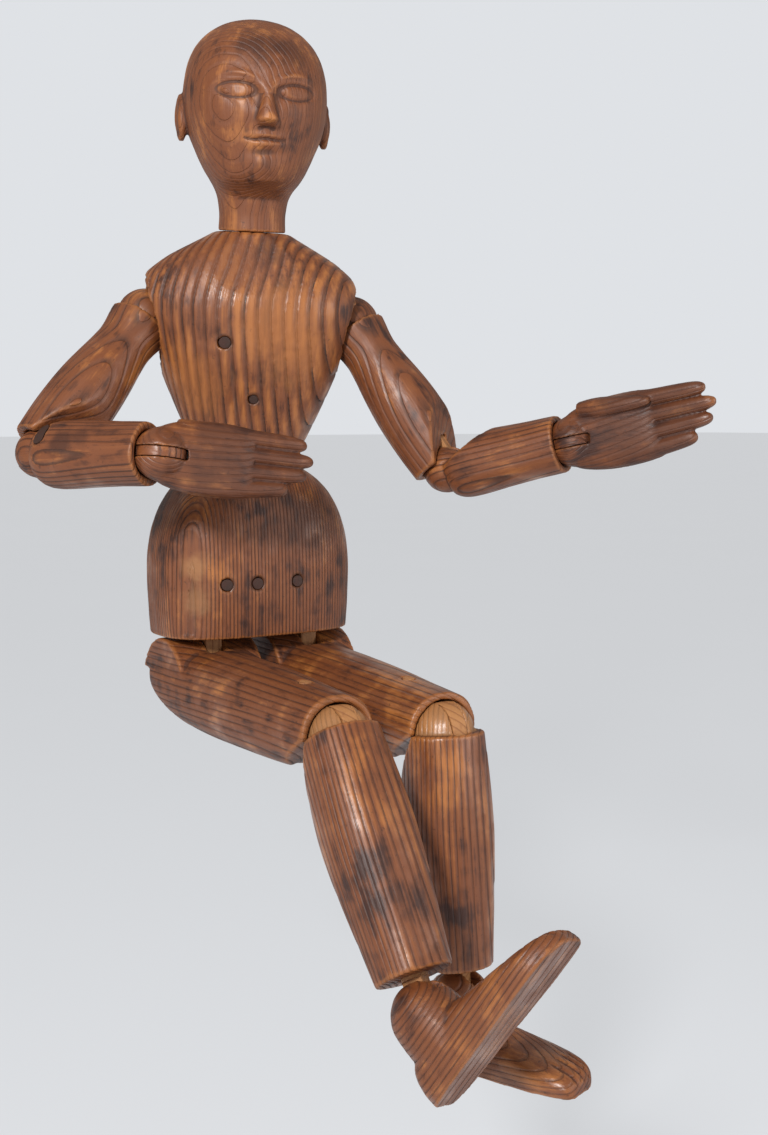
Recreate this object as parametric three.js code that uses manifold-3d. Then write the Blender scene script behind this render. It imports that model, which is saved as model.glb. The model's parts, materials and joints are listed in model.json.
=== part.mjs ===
// Articulated wooden lay figure, carved in pine and stained, seated with its legs hanging.
// Millimetres, +Z up. The figure faces -Y, so its left side is +X and its right side is -X.
// The origin lies on the seat plane, under the thighs and midway between them.

import * as THREE from "three";
import { mergeVertices } from "three/addons/utils/BufferGeometryUtils.js";
import Module from "manifold-3d";

const wasm = await Module();
wasm.setup();

// Fits
const FIT = 0.3; // gap round a peg, pin, dowel or tongue
const BALL_FIT = 0.6; // gap between a ball and its cup
const FACE_GAP = 0.5; // gap between two flat ends that meet at a hinge
const ROUND_SIDES = 12; // facets of a dowel, pin or bore
const BALL_SIDES = 16; // facets round a ball or cup

// Turned stock
const PEG_RADIUS = 3.2; // quarter-inch locking pegs
const PIN_RADIUS = 2.4; // hinge pins of the larger joints
const WRIST_PIN_RADIUS = 1.8;

// Pelvis
const PELVIS_BASE = 52.5; // height of its flat underside over the seat
const PELVIS_HEIGHT = 96;
const PELVIS_WIDTH = 118;
const PELVIS_DEPTH = 74;
const PELVIS_PEG_HEIGHT = 30; // of the front pegs over the underside

// Waist
const WAIST_GAP = 8; // between the pelvis and the chest
const WAIST_PIVOT_RISE = 11; // bending axis over the pelvis
const STEM_RADIUS = 11.5;
const STEM_DEPTH = 72; // of the stem in the pelvis
const STEM_PEG_OFFSET = 12.3; // pegs either side of the stem
const WAIST_TONGUE = 8; // thickness of the stem's tongue
const WAIST_TONGUE_RADIUS = 7;
const LINK_WIDTH = 22;
const LINK_DEPTH = 16;
const LEAN_PIN_HEIGHT = 31; // leaning axis over the underside of the chest
const WAIST_BEND_LIMIT = 16; // room cut for bending, each way, degrees
const WAIST_LEAN_LIMIT = 10; // room cut for leaning, each way, degrees

// Chest
const CHEST_HEIGHT = 119;
const CHEST_WIDTH = 124;
const CHEST_DEPTH = 72;
const SHOULDER_SPAN = 115; // between the shoulder centres
const SHOULDER_HEIGHT = 71; // over the underside of the chest
const SOCKET_RADIUS = 22.8; // scooped hollow round each shoulder ball
const ARM_HOLLOW_RADIUS = 21; // scoop under each socket, for the arm
const ARM_HOLLOW_DROP = 16; // of its centre below the shoulder centre
const ARM_HOLLOW_OUT = 6; // of its centre outside the shoulder centre
const SHOULDER_BALL_RADIUS = 16;
const SHOULDER_DOWEL_RADIUS = 8;
const SHOULDER_DOWEL_LENGTH = 43; // from the ball's centre into the chest
const SHOULDER_GROOVE = 41; // from the ball's centre to its locking peg
const SHOULDER_PEG_DROP = 9.6; // of that peg below the dowel's axis

// Head and neck
const HEAD_HEIGHT = 110; // from the base of the neck to the crown
const HEAD_WIDTH = 78;
const HEAD_DEPTH = 88;
const NECK_RADIUS = 18.6;
const NECK_DOWEL_RADIUS = 7;
const NECK_DOWEL_DEPTH = 40; // in the chest
const NECK_DOWEL_RISE = 34; // in the head
const NECK_PEG_DROP = 15; // below the top of the chest
const NECK_PEG_OFFSET = 8.6;
const EAR_HEIGHT = 26;

// Arms
const UPPER_ARM_LENGTH = 100; // shoulder centre to elbow axis
const UPPER_ARM_WIDTH = 38;
const UPPER_ARM_TOP = 5; // its top below the shoulder centre
const ARM_TONGUE = 7; // thickness of the arm stem's tongue
const ARM_TONGUE_RADIUS = 7.5;
const ARM_STEM_RADIUS = 6;
const ARM_STEM_LENGTH = 46; // from the shoulder centre into the arm
const LIFT_DOWN = 18; // room cut in the ball for the arm, degrees inwards of hanging
const LIFT_UP = 92; // and outwards
const FOREARM_LENGTH = 75; // elbow axis to wrist axis
const FOREARM_WIDTH = 35;
const ELBOW_GAP = 4; // from the elbow axis to each piece's end
const ELBOW_BALL_RADIUS = 13.5;
const ELBOW_TONGUE = 6;
const ELBOW_TONGUE_RADIUS = 8.5;
const ELBOW_TONGUE_DEPTH = 34; // in the upper arm
const ELBOW_RELIEF = 61; // bevel in the crook of each piece, degrees
const ELBOW_BEND = 126; // room cut for the tongue, degrees
const ELBOW_PLUG_DROP = 10; // rounded plug below the elbow axis
const ELBOW_PLUG_LENGTH = 13;
const ELBOW_PLUG_WIDTH = 7;
const ELBOW_PLUG_DEPTH = 3;

// Hands
const HAND_LENGTH = 80; // wrist axis to the tip of the middle finger
const PALM_LENGTH = 47;
const PALM_WIDTH = 38;
const PALM_THICKNESS = 15;
const FINGER_WIDTH = 9;
const WRIST_BALL_RADIUS = 14;
const WRIST_RIM = 7; // from the wrist axis to the end of the forearm
const WRIST_TONGUE = 5;
const WRIST_TONGUE_RADIUS = 13.6;
const WRIST_SHANK = 6; // half width of the room for the tongue's neck
const WRIST_DOWEL_RADIUS = 4.5;
const WRIST_DOWEL_LENGTH = 38; // from the wrist axis into the forearm
const WRIST_BEND = 62; // room cut for the tongue, each way, degrees

// Legs
const HIP_SPACING = 60; // between the hip centres
const HIP_FORWARD = 2; // of the middle of the pelvis
const HIP_HEIGHT = 22.5; // over the seat
const HIP_TONGUE = 9.5;
const HIP_TONGUE_RADIUS = 14;
const HIP_TONGUE_RISE = 36; // in the pelvis
const HIP_PIN_LENGTH = 44;
const HIP_KNUCKLE_GAP = 1.2; // from the thigh's rounded top to the pelvis
const HIP_KNUCKLE_WIDTH = 50;
const THIGH_LENGTH = 154; // hip axis to knee axis
const THIGH_WIDTH = 56;
const THIGH_DEPTH = 46;
const THIGH_TOP = 28; // its rounded end beyond the hip axis
const SHIN_LENGTH = 134; // knee axis to ankle axis
const SHIN_WIDTH = 45;
const KNEE_WIDTH = 40; // across the rim of the thigh
const KNEE_BALL_RADIUS = 16;
const KNEE_TONGUE = 8;
const KNEE_TONGUE_RADIUS = 15.6;
const KNEE_SHANK = 9.5; // half width of the tongue in the thigh
const KNEE_TONGUE_DEPTH = 42; // in the thigh
const KNEE_PEG_DEPTH = 33; // of the peg from the knee axis
const KNEE_RELIEF = 57; // bevel behind each piece, degrees
const KNEE_BEND = 118; // room cut for the tongue, degrees

// Feet
const FOOT_LENGTH = 92;
const FOOT_WIDTH = 37;
const FOOT_HEEL = 22; // heel behind the ankle axis
const ANKLE_HEIGHT = 30; // ankle axis over the sole
const ANKLE_RIM = 18; // from the ankle axis to the end of the lower leg
const ANKLE_BALL_RADIUS = 16.5;
const ANKLE_TONGUE = 8;
const ANKLE_TONGUE_RADIUS = 8;
const ANKLE_DOWEL_RADIUS = 6.5;
const ANKLE_DOWEL_LENGTH = 50; // from the ankle axis into the lower leg
const ANKLE_BEND = 48; // room cut for the tongue, each way, degrees

// Pose, in degrees, as the figure sits
const POSE = {
  waist: { turn: -20.5, bend: 8, lean: 1.2 },
  neck: { turn: 3 },
  right: {
    side: -1,
    swing: 35,
    lift: 33,
    twist: 56,
    elbow: 103,
    wristTurn: -31,
    wristBend: 46,
    hip: 90,
    knee: 55,
    ankleTurn: 33.5,
    ankleBend: -28.5,
  },
  left: {
    side: 1,
    swing: 30.5,
    lift: 30,
    twist: 46,
    elbow: 66.5,
    wristTurn: 0,
    wristBend: 4.5,
    hip: 88.2,
    knee: 81.7,
    ankleTurn: 23.5,
    ankleBend: 3.5,
  },
};

// Finishes: colour, roughness
const STAINED = { color: 0x7a4528, roughness: 0.5, metalness: 0 };
const PALE = { color: 0xb98a56, roughness: 0.7, metalness: 0 };
const DARK = { color: 0x4a3022, roughness: 0.6, metalness: 0 };

const X = new THREE.Vector3(1, 0, 0);
const Y = new THREE.Vector3(0, 1, 0);
const Z = new THREE.Vector3(0, 0, 1);
const FAR = 400; // longer than any piece, for cutters that pass right through
const rad = THREE.MathUtils.degToRad;

// Solids

function solid(geometry) {
  const bare = geometry.index ? geometry.toNonIndexed() : geometry;
  const loose = new THREE.BufferGeometry();
  loose.setAttribute("position", bare.getAttribute("position"));
  const merged = mergeVertices(loose, 1e-4);
  const kept = [];
  const index = merged.index.array;
  for (let i = 0; i < index.length; i += 3) {
    const [a, b, c] = index.subarray(i, i + 3);
    if (a !== b && b !== c && c !== a) kept.push(a, b, c);
  }
  const vertProperties = new Float32Array(merged.getAttribute("position").array);
  const triVerts = new Uint32Array(kept);
  return new wasm.Manifold(new wasm.Mesh({ numProp: 3, vertProperties, triVerts }));
}

function union(first, ...rest) {
  return rest.reduce((sum, piece) => sum.add(piece), first);
}

function cut(first, ...rest) {
  return rest.reduce((left, piece) => left.subtract(piece), first);
}

// A round bar along an axis, from one distance to another, through a point of the other two axes.
function bar(axis, radius, from, to, at = [0, 0, 0], sides = ROUND_SIDES) {
  const geometry = new THREE.CylinderGeometry(radius, radius, to - from, sides);
  geometry.translate(0, (from + to) / 2, 0);
  const turn = new THREE.Quaternion().setFromUnitVectors(Y, axis);
  geometry.applyQuaternion(turn);
  geometry.translate(...at);
  return solid(geometry);
}

// A bore for such a bar: its flats clear the bar's corners, so that the bar can turn in it.
function bore(axis, radius, from, to, at) {
  return bar(axis, (radius + FIT) / Math.cos(Math.PI / ROUND_SIDES), from, to, at);
}

function ball(radius, at = [0, 0, 0]) {
  const geometry = new THREE.SphereGeometry(radius, BALL_SIDES, BALL_SIDES / 2);
  geometry.rotateX(Math.PI / 2);
  geometry.translate(...at);
  return solid(geometry);
}

function cup(radius, at) {
  return ball((radius + BALL_FIT) / Math.cos(Math.PI / BALL_SIDES), at);
}

function block(low, high) {
  const size = high.map((value, i) => value - low[i]);
  const geometry = new THREE.BoxGeometry(...size);
  geometry.translate(...high.map((value, i) => (value + low[i]) / 2));
  return solid(geometry);
}

// A carved form along Z. Each row of its profile gives a height, half width, half depth,
// and the shifts of its middle along X and Y. Corners are rounder the lower the power.
function carved(rows, power = 2.3, sides = 16) {
  const geometry = new THREE.CylinderGeometry(1, 1, 1, sides, rows.length - 1);
  const points = geometry.getAttribute("position");
  for (let i = 0; i < points.count; i += 1) {
    const row = rows[Math.round((0.5 - points.getY(i)) * (rows.length - 1))];
    const [height, halfWidth, halfDepth, shiftX = 0, shiftY = 0] = row;
    const reach = Math.min(1, Math.hypot(points.getX(i), points.getZ(i)));
    const angle = Math.atan2(-points.getZ(i), points.getX(i));
    const soft = (value) => Math.sign(value) * Math.abs(value) ** (2 / power);
    const x = shiftX + reach * halfWidth * soft(Math.cos(angle));
    const y = shiftY + reach * halfDepth * soft(Math.sin(angle));
    points.setXYZ(i, x, y, height);
  }
  return solid(geometry);
}

// Rows of a form between two heights, from shares of its length, width and depth.
function rowsBetween(top, bottom, width, depth, shares) {
  return shares.map(([along, wide, deep, shiftX = 0, shiftY = 0]) => [
    top + (bottom - top) * along,
    (width / 2) * wide,
    (depth / 2) * deep,
    (width / 2) * shiftX,
    (depth / 2) * shiftY,
  ]);
}

// An upright plate whose middle plane is square to the hinge axis. Angles run from +Z,
// towards +Y round the X axis and towards +X round the Y axis.
function plate(axis, thickness, shape) {
  const settings = { depth: thickness, bevelEnabled: false, curveSegments: ROUND_SIDES / 2 };
  const geometry = new THREE.ExtrudeGeometry(shape, settings);
  geometry.translate(0, 0, -thickness / 2);
  const basis = new THREE.Matrix4();
  if (axis === X) basis.makeBasis(Z, Y, X.clone().negate());
  else basis.makeBasis(Z, X, Y);
  geometry.applyMatrix4(basis);
  return solid(geometry);
}

function rectangle(from, to, halfWidth, angle) {
  const corners = [
    [from, -halfWidth],
    [to, -halfWidth],
    [to, halfWidth],
    [from, halfWidth],
  ];
  const turn = ([u, v]) =>
    new THREE.Vector2(u, v).rotateAround(new THREE.Vector2(0, 0), rad(angle));
  return new THREE.Shape(corners.map(turn));
}

function disc(axis, radius, thickness) {
  const shape = new THREE.Shape();
  shape.absarc(0, 0, radius, 0, 2 * Math.PI, false);
  return plate(axis, thickness, shape);
}

// A tongue: a plate with a round end about the hinge axis and a shank in one direction.
function tongue(axis, thickness, radius, reach, angle = 0, shank = radius) {
  const stem = plate(axis, thickness, rectangle(0, reach, shank, angle));
  return union(disc(axis, radius, thickness), stem);
}

// A tongue on a round dowel that turns: the tongue's neck is narrow enough to pass the dowel's bore.
function dowelTongue(axis, thickness, radius, dowelRadius, shoulder, length, towards) {
  const neck = Math.sqrt(dowelRadius ** 2 - (thickness / 2) ** 2) - FIT;
  const angle = towards > 0 ? 0 : 180;
  const grip = plate(axis, thickness, rectangle(0, shoulder + FIT, neck, angle));
  const ends = towards > 0 ? [shoulder, length] : [-length, -shoulder];
  return union(disc(axis, radius, thickness), grip, bar(Z, dowelRadius, ...ends));
}

// The slot that a tongue of that size sweeps as it swings between two angles.
function sweptSlot(axis, thickness, radius, reach, low, high, shank = radius) {
  const wide = shank + FIT;
  const gap = thickness + 2 * FIT;
  const round = disc(axis, (radius + FIT) / Math.cos(Math.PI / ROUND_SIDES) + FIT, gap);
  const ends = [low, high].map((angle) => plate(axis, gap, rectangle(0, reach, wide, angle)));
  const sector = new THREE.Shape();
  sector.moveTo(0, 0);
  sector.lineTo(reach * Math.cos(rad(low)), reach * Math.sin(rad(low)));
  sector.absarc(0, 0, reach, rad(low), rad(high), false);
  return union(round, ...ends, plate(axis, gap, sector));
}

// The wedge cut off a hinged piece on the side that folds: towards is +1 for +Y and -1 for -Y,
// and above is true for the upper of the two pieces.
function relief(towards, angle, above) {
  const low = [-FAR, towards > 0 ? 0 : -FAR, above ? -FAR : 0];
  const high = [FAR, towards > 0 ? FAR : 0, above ? 0 : FAR];
  const lift = towards * (above ? angle : -angle);
  return block(low, high).rotate([lift, 0, 0]);
}

function mirrorX(piece) {
  return piece.scale([-1, 1, 1]);
}

// Scene graph

function mesh(name, piece, finish) {
  const { vertProperties, triVerts } = piece.getMesh();
  const geometry = new THREE.BufferGeometry();
  geometry.setAttribute("position", new THREE.BufferAttribute(vertProperties, 3));
  geometry.setIndex(new THREE.BufferAttribute(triVerts, 1));
  geometry.computeVertexNormals();
  const node = new THREE.Mesh(geometry, new THREE.MeshStandardMaterial(finish));
  node.name = name;
  return node;
}

// A joint: a group placed at the joint's centre and turned about one axis by its resting angle.
function joint(name, parent, place, axis, degrees) {
  const group = new THREE.Group();
  group.name = name;
  group.position.set(...place);
  group.quaternion.setFromAxisAngle(axis, rad(degrees));
  group.userData.axis = axis.toArray();
  parent.add(group);
  return group;
}

// Pelvis and waist

const PELVIS_TOP = PELVIS_BASE + PELVIS_HEIGHT;
const PEG_LEVEL = PELVIS_BASE + PELVIS_PEG_HEIGHT;
const GROOVE_HALF = PEG_RADIUS + 2 * FIT;

function pelvisForm() {
  const shares = [
    [0, 0.36, 0.44],
    [0.025, 0.47, 0.56],
    [0.09, 0.64, 0.72],
    [0.17, 0.775, 0.85],
    [0.28, 0.885, 0.93],
    [0.42, 0.965, 0.98],
    [0.58, 1, 1],
    [0.8, 0.99, 0.995],
    [1, 0.97, 0.97],
  ];
  return carved(rowsBetween(PELVIS_TOP, PELVIS_BASE, PELVIS_WIDTH, PELVIS_DEPTH, shares), 2.8, 24);
}

function hipTongue() {
  return tongue(X, HIP_TONGUE, HIP_TONGUE_RADIUS, PELVIS_BASE - HIP_HEIGHT + HIP_TONGUE_RISE);
}

function buildPelvis(figure) {
  const form = pelvisForm();
  const hipAt = (side) => [(side * HIP_SPACING) / 2, -HIP_FORWARD, HIP_HEIGHT];
  const mortise = (side) => {
    const [x, y] = hipAt(side);
    const halfThick = HIP_TONGUE / 2 + FIT;
    const halfDeep = HIP_TONGUE_RADIUS + FIT;
    const top = PELVIS_BASE + HIP_TONGUE_RISE + FIT;
    const low = [x - halfThick, y - halfDeep, PELVIS_BASE - FIT];
    return block(low, [x + halfThick, y + halfDeep, top]);
  };
  const frontPegs = [
    ["waist_peg_right", -STEM_PEG_OFFSET, PEG_RADIUS * 2],
    ["waist_peg_left", STEM_PEG_OFFSET, PEG_RADIUS * 2],
    ["right_hip_peg", -HIP_SPACING / 2, -HIP_FORWARD + HIP_TONGUE_RADIUS + PEG_RADIUS * 2],
  ];
  let body = cut(
    form,
    bore(Z, STEM_RADIUS, PELVIS_TOP - STEM_DEPTH - FIT, FAR),
    mortise(-1),
    mortise(1),
  );
  const sideEnd = HIP_SPACING / 2 - HIP_TONGUE / 2 - PEG_RADIUS;
  const sideAt = [0, -HIP_FORWARD, PEG_LEVEL];
  for (const [, x, end] of frontPegs) {
    body = cut(body, bore(Y, PEG_RADIUS, -FAR, end + FIT, [x, 0, PEG_LEVEL]));
  }
  body = cut(body, bore(X, PEG_RADIUS, sideEnd - FIT, FAR, sideAt));
  figure.add(mesh("pelvis_block", body, STAINED));
  for (const [name, x, end] of frontPegs) {
    const peg = bar(Y, PEG_RADIUS, -FAR, end, [x, 0, PEG_LEVEL]).intersect(form);
    figure.add(mesh(name, peg, DARK));
  }
  const sidePeg = bar(X, PEG_RADIUS, sideEnd, FAR, sideAt).intersect(form);
  figure.add(mesh("left_hip_peg", sidePeg, DARK));
  for (const [word, side] of [["right", -1], ["left", 1]]) {
    const [x, y, z] = hipAt(side);
    const pegAt = PEG_LEVEL - HIP_HEIGHT;
    const hole =
      side < 0
        ? bore(Y, PEG_RADIUS, -FAR, FAR, [0, 0, pegAt])
        : bore(X, PEG_RADIUS, -FAR, FAR, [0, 0, pegAt]);
    const pinHole = bore(X, PIN_RADIUS, -FAR, FAR);
    const post = cut(hipTongue(), hole, pinHole).translate([x, y, z]);
    figure.add(mesh(`${word}_hip_tongue`, post, PALE));
  }
}

function waistStem() {
  const groove = PEG_LEVEL - PELVIS_TOP;
  const neckRadius = STEM_PEG_OFFSET - PEG_RADIUS - 2 * FIT;
  const top = tongue(X, WAIST_TONGUE, WAIST_TONGUE_RADIUS, WAIST_PIVOT_RISE + STEM_RADIUS, 180);
  return union(
    bar(Z, STEM_RADIUS, -STEM_DEPTH, groove - GROOVE_HALF),
    bar(Z, neckRadius, groove - GROOVE_HALF - FIT, groove + GROOVE_HALF + FIT),
    bar(Z, STEM_RADIUS, groove + GROOVE_HALF, 0),
    cut(top, bore(X, PIN_RADIUS, -FAR, FAR)).translate([0, 0, WAIST_PIVOT_RISE]),
  );
}

const LEAN_RISE = WAIST_GAP + LEAN_PIN_HEIGHT - WAIST_PIVOT_RISE; // bending axis to leaning axis
const LINK_TONGUE = LINK_DEPTH - 6;

function waistLink() {
  const halfDepth = LINK_DEPTH / 2;
  const fork = union(
    bar(X, halfDepth, -LINK_WIDTH / 2, LINK_WIDTH / 2),
    block([-LINK_WIDTH / 2, -halfDepth, 0], [LINK_WIDTH / 2, halfDepth, LEAN_RISE / 2]),
  );
  const upper = tongue(Y, LINK_TONGUE, LINK_WIDTH / 2, LEAN_RISE - WAIST_TONGUE_RADIUS - 2 * FIT, 180);
  const body = union(fork, upper.translate([0, 0, LEAN_RISE]));
  const low = 180 - WAIST_BEND_LIMIT;
  const high = 180 + WAIST_BEND_LIMIT;
  return cut(
    body,
    sweptSlot(X, WAIST_TONGUE, WAIST_TONGUE_RADIUS, LINK_DEPTH, low, high),
    bore(X, PIN_RADIUS, -FAR, FAR),
    bore(Y, PIN_RADIUS, -FAR, FAR, [0, 0, LEAN_RISE]),
  );
}

function buildWaist(figure) {
  const place = [0, 0, PELVIS_TOP];
  const turn = joint("waist_turn", figure, place, Z, POSE.waist.turn);
  turn.add(mesh("waist_stem", waistStem(), PALE));
  const bend = joint("waist_bend", turn, [0, 0, WAIST_PIVOT_RISE], X, POSE.waist.bend);
  bend.add(mesh("waist_link", waistLink(), PALE));
  const reach = LINK_WIDTH / 2 - FIT;
  bend.add(mesh("waist_bend_pin", bar(X, PIN_RADIUS, -reach, reach), DARK));
  return joint("waist_lean", bend, [0, 0, LEAN_RISE], Y, POSE.waist.lean);
}

// Chest, in the frame of the leaning axis

const CHEST_BASE = -LEAN_PIN_HEIGHT;
const CHEST_TOP = CHEST_BASE + CHEST_HEIGHT;
const SHOULDER_LEVEL = CHEST_BASE + SHOULDER_HEIGHT;

function chestForm() {
  const shares = [
    [0, 0.32, 0.54],
    [0.02, 0.38, 0.58],
    [0.067, 0.55, 0.68],
    [0.126, 0.76, 0.78],
    [0.193, 0.915, 0.88],
    [0.294, 1, 1],
    [0.38, 0.965, 1.01],
    [0.48, 0.9, 0.98],
    [0.64, 0.79, 0.92],
    [0.765, 0.694, 0.85],
    [0.9, 0.58, 0.76],
    [1, 0.484, 0.68],
  ];
  return carved(rowsBetween(CHEST_TOP, CHEST_BASE, CHEST_WIDTH, CHEST_DEPTH, shares), 2.6, 24);
}

function shoulderBall(side) {
  const groove = SHOULDER_GROOVE;
  const neckRadius = SHOULDER_PEG_DROP - PEG_RADIUS - 2 * FIT;
  const turned = union(
    ball(SHOULDER_BALL_RADIUS),
    bar(X, SHOULDER_DOWEL_RADIUS, -groove + GROOVE_HALF, 0),
    bar(X, neckRadius, -groove - GROOVE_HALF - FIT, -groove + GROOVE_HALF + FIT),
    bar(X, SHOULDER_DOWEL_RADIUS, -SHOULDER_DOWEL_LENGTH - GROOVE_HALF, -groove - GROOVE_HALF),
  );
  const reach = SHOULDER_BALL_RADIUS + FIT;
  const pinReach = SHOULDER_BALL_RADIUS - 2;
  const cuts = cut(
    turned,
    sweptSlot(Y, ARM_TONGUE, ARM_TONGUE_RADIUS, reach, 180 - LIFT_UP, 180 + LIFT_DOWN),
    bore(Y, PIN_RADIUS, -pinReach - FIT, pinReach + FIT),
  );
  return side > 0 ? cuts : mirrorX(cuts);
}

function buildChest(lean) {
  const form = chestForm();
  const dowelEnd = SHOULDER_SPAN / 2 - SHOULDER_DOWEL_LENGTH - GROOVE_HALF - FIT;
  const pegX = SHOULDER_SPAN / 2 - SHOULDER_GROOVE;
  const pegLevel = SHOULDER_LEVEL - SHOULDER_PEG_DROP;
  const pegReach = PEG_RADIUS * 2;
  const neckPegAt = [NECK_PEG_OFFSET, 0, CHEST_TOP - NECK_PEG_DROP];
  const pegs = [
    ["right_shoulder_peg", [-pegX, 0, pegLevel], -FAR, pegReach],
    ["left_shoulder_peg", [pegX, 0, pegLevel], -pegReach, FAR],
    ["neck_peg", neckPegAt, -pegReach, FAR],
  ];
  const low = 180 - WAIST_LEAN_LIMIT;
  const high = 180 + WAIST_LEAN_LIMIT;
  const leanPinEnd = LINK_DEPTH;
  let body = cut(
    form,
    sweptSlot(Y, LINK_DEPTH, LINK_WIDTH / 2, LEAN_PIN_HEIGHT + LINK_DEPTH, low, high),
    bore(Y, PIN_RADIUS, -FAR, leanPinEnd + FIT),
    bore(Z, NECK_DOWEL_RADIUS, CHEST_TOP - NECK_DOWEL_DEPTH - FIT, FAR),
  );
  for (const side of [-1, 1]) {
    const x = (side * SHOULDER_SPAN) / 2;
    const ends = side > 0 ? [dowelEnd, x] : [x, -dowelEnd];
    body = cut(
      body,
      ball(SOCKET_RADIUS, [x, 0, SHOULDER_LEVEL]),
      ball(ARM_HOLLOW_RADIUS, [x + side * ARM_HOLLOW_OUT, 0, SHOULDER_LEVEL - ARM_HOLLOW_DROP]),
      bore(X, SHOULDER_DOWEL_RADIUS, ...ends, [0, 0, SHOULDER_LEVEL]),
    );
  }
  for (const [, at, from, to] of pegs) {
    body = cut(body, bore(Y, PEG_RADIUS, from - FIT, to + FIT, at));
  }
  lean.add(mesh("chest_block", body, STAINED));
  for (const [name, at, from, to] of pegs) {
    lean.add(mesh(name, bar(Y, PEG_RADIUS, from, to, at).intersect(form), DARK));
  }
  const pin = bar(Y, PIN_RADIUS, -FAR, leanPinEnd).intersect(form);
  lean.add(mesh("waist_lean_pin", pin, DARK));
}

// Head, in the frame of the neck's base

function headForm() {
  const shares = [
    [0, 0.15, 0.16, 0, 0.07],
    [0.023, 0.44, 0.44, 0, 0.07],
    [0.073, 0.68, 0.68, 0, 0.07],
    [0.145, 0.86, 0.86, 0, 0.06],
    [0.236, 0.96, 0.965, 0, 0.035],
    [0.345, 1, 1, 0, 0.01],
    [0.455, 0.98, 0.98, 0, -0.01],
    [0.545, 0.92, 0.92, 0, -0.025],
    [0.627, 0.82, 0.86, 0, -0.045],
    [0.7, 0.725, 0.79, 0, -0.08],
    [0.755, 0.63, 0.67, 0, -0.13],
    [0.795, 0.55, 0.53, 0, -0.05],
  ];
  const skull = rowsBetween(HEAD_HEIGHT, 0, HEAD_WIDTH, HEAD_DEPTH, shares);
  const neck = [
    [HEAD_HEIGHT * 0.165, NECK_RADIUS * 1.04, NECK_RADIUS * 1.06],
    [HEAD_HEIGHT * 0.08, NECK_RADIUS * 0.965, NECK_RADIUS * 0.98],
    [FACE_GAP, NECK_RADIUS, NECK_RADIUS],
  ];
  return carved([...skull, ...neck], 2.2, 20);
}

function noseForm() {
  const front = -HEAD_DEPTH / 2;
  const rows = [
    [HEAD_HEIGHT * 0.67, 2.2, 2.2, 0, front + 3],
    [HEAD_HEIGHT * 0.58, 4, 5, 0, front + 1],
    [HEAD_HEIGHT * 0.52, 6, 6.6, 0, front + 0.5],
    [HEAD_HEIGHT * 0.49, 4, 3.4, 0, front + 2],
  ];
  return carved(rows, 2, 10);
}

function earForm(side) {
  const geometry = new THREE.SphereGeometry(1, 10, 6);
  geometry.scale(4.2, 8.5, EAR_HEIGHT / 2);
  geometry.rotateX(rad(-8));
  geometry.translate((side * HEAD_WIDTH) / 2, HEAD_DEPTH * 0.05, HEAD_HEIGHT * 0.53);
  return solid(geometry);
}

function buildHead(lean) {
  const turn = joint("neck_turn", lean, [0, 0, CHEST_TOP], Z, POSE.neck.turn);
  const socket = bore(Z, NECK_DOWEL_RADIUS, -FAR, NECK_DOWEL_RISE + FIT);
  const head = cut(union(headForm(), noseForm(), earForm(-1), earForm(1)), socket);
  turn.add(mesh("head", head, STAINED));
  const neckRadius = NECK_PEG_OFFSET - PEG_RADIUS - 2 * FIT;
  const dowel = union(
    bar(Z, NECK_DOWEL_RADIUS, -NECK_DOWEL_DEPTH, -NECK_PEG_DROP - GROOVE_HALF),
    bar(Z, neckRadius, -NECK_PEG_DROP - GROOVE_HALF - FIT, -NECK_PEG_DROP + GROOVE_HALF + FIT),
    bar(Z, NECK_DOWEL_RADIUS, -NECK_PEG_DROP + GROOVE_HALF, NECK_DOWEL_RISE),
  );
  turn.add(mesh("neck_dowel", dowel, PALE));
}

// Arms, in the frame of the shoulder centre, hanging along -Z with the elbow folding forwards

function armStem() {
  const shoulder = SHOULDER_BALL_RADIUS + FIT;
  const sizes = [ARM_TONGUE, ARM_TONGUE_RADIUS, ARM_STEM_RADIUS, shoulder, ARM_STEM_LENGTH];
  return cut(dowelTongue(Y, ...sizes, -1), bore(Y, PIN_RADIUS, -FAR, FAR));
}

function upperArm() {
  const shares = [
    [0, 0.9, 0.9],
    [0.05, 0.87, 0.87],
    [0.12, 0.81, 0.81],
    [0.18, 0.78, 0.78],
    [0.28, 0.825, 0.825],
    [0.5, 0.97, 0.97],
    [0.75, 1, 1],
    [1, 0.91, 0.93],
  ];
  const end = -UPPER_ARM_LENGTH + ELBOW_GAP;
  const form = carved(rowsBetween(-UPPER_ARM_TOP, end, UPPER_ARM_WIDTH, UPPER_ARM_WIDTH, shares), 2.3);
  const elbow = [0, 0, -UPPER_ARM_LENGTH];
  const mortise = plate(
    X,
    ELBOW_TONGUE + 2 * FIT,
    rectangle(0, ELBOW_TONGUE_DEPTH + FIT, ELBOW_TONGUE_RADIUS + FIT, 0),
  );
  return cut(
    form,
    cup(SHOULDER_BALL_RADIUS),
    bore(Z, ARM_STEM_RADIUS, -ARM_STEM_LENGTH - FIT, 0),
    cup(ELBOW_BALL_RADIUS, elbow),
    mortise.translate(elbow),
    relief(-1, ELBOW_RELIEF, true).translate(elbow),
  );
}

// A rounded slip let into the outer face of the forearm, its length along Y.
function elbowPlug(depth, gap) {
  const half = (ELBOW_PLUG_LENGTH - ELBOW_PLUG_WIDTH) / 2;
  const radius = ELBOW_PLUG_WIDTH / 2 + gap;
  const from = FOREARM_WIDTH / 2 - depth;
  const flat = radius * Math.cos(Math.PI / ROUND_SIDES);
  return union(
    bar(X, radius, from, FAR, [0, half, -ELBOW_PLUG_DROP]),
    bar(X, radius, from, FAR, [0, -half, -ELBOW_PLUG_DROP]),
    block([from, -half, -ELBOW_PLUG_DROP - flat], [FAR, half, -ELBOW_PLUG_DROP + flat]),
  );
}

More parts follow.
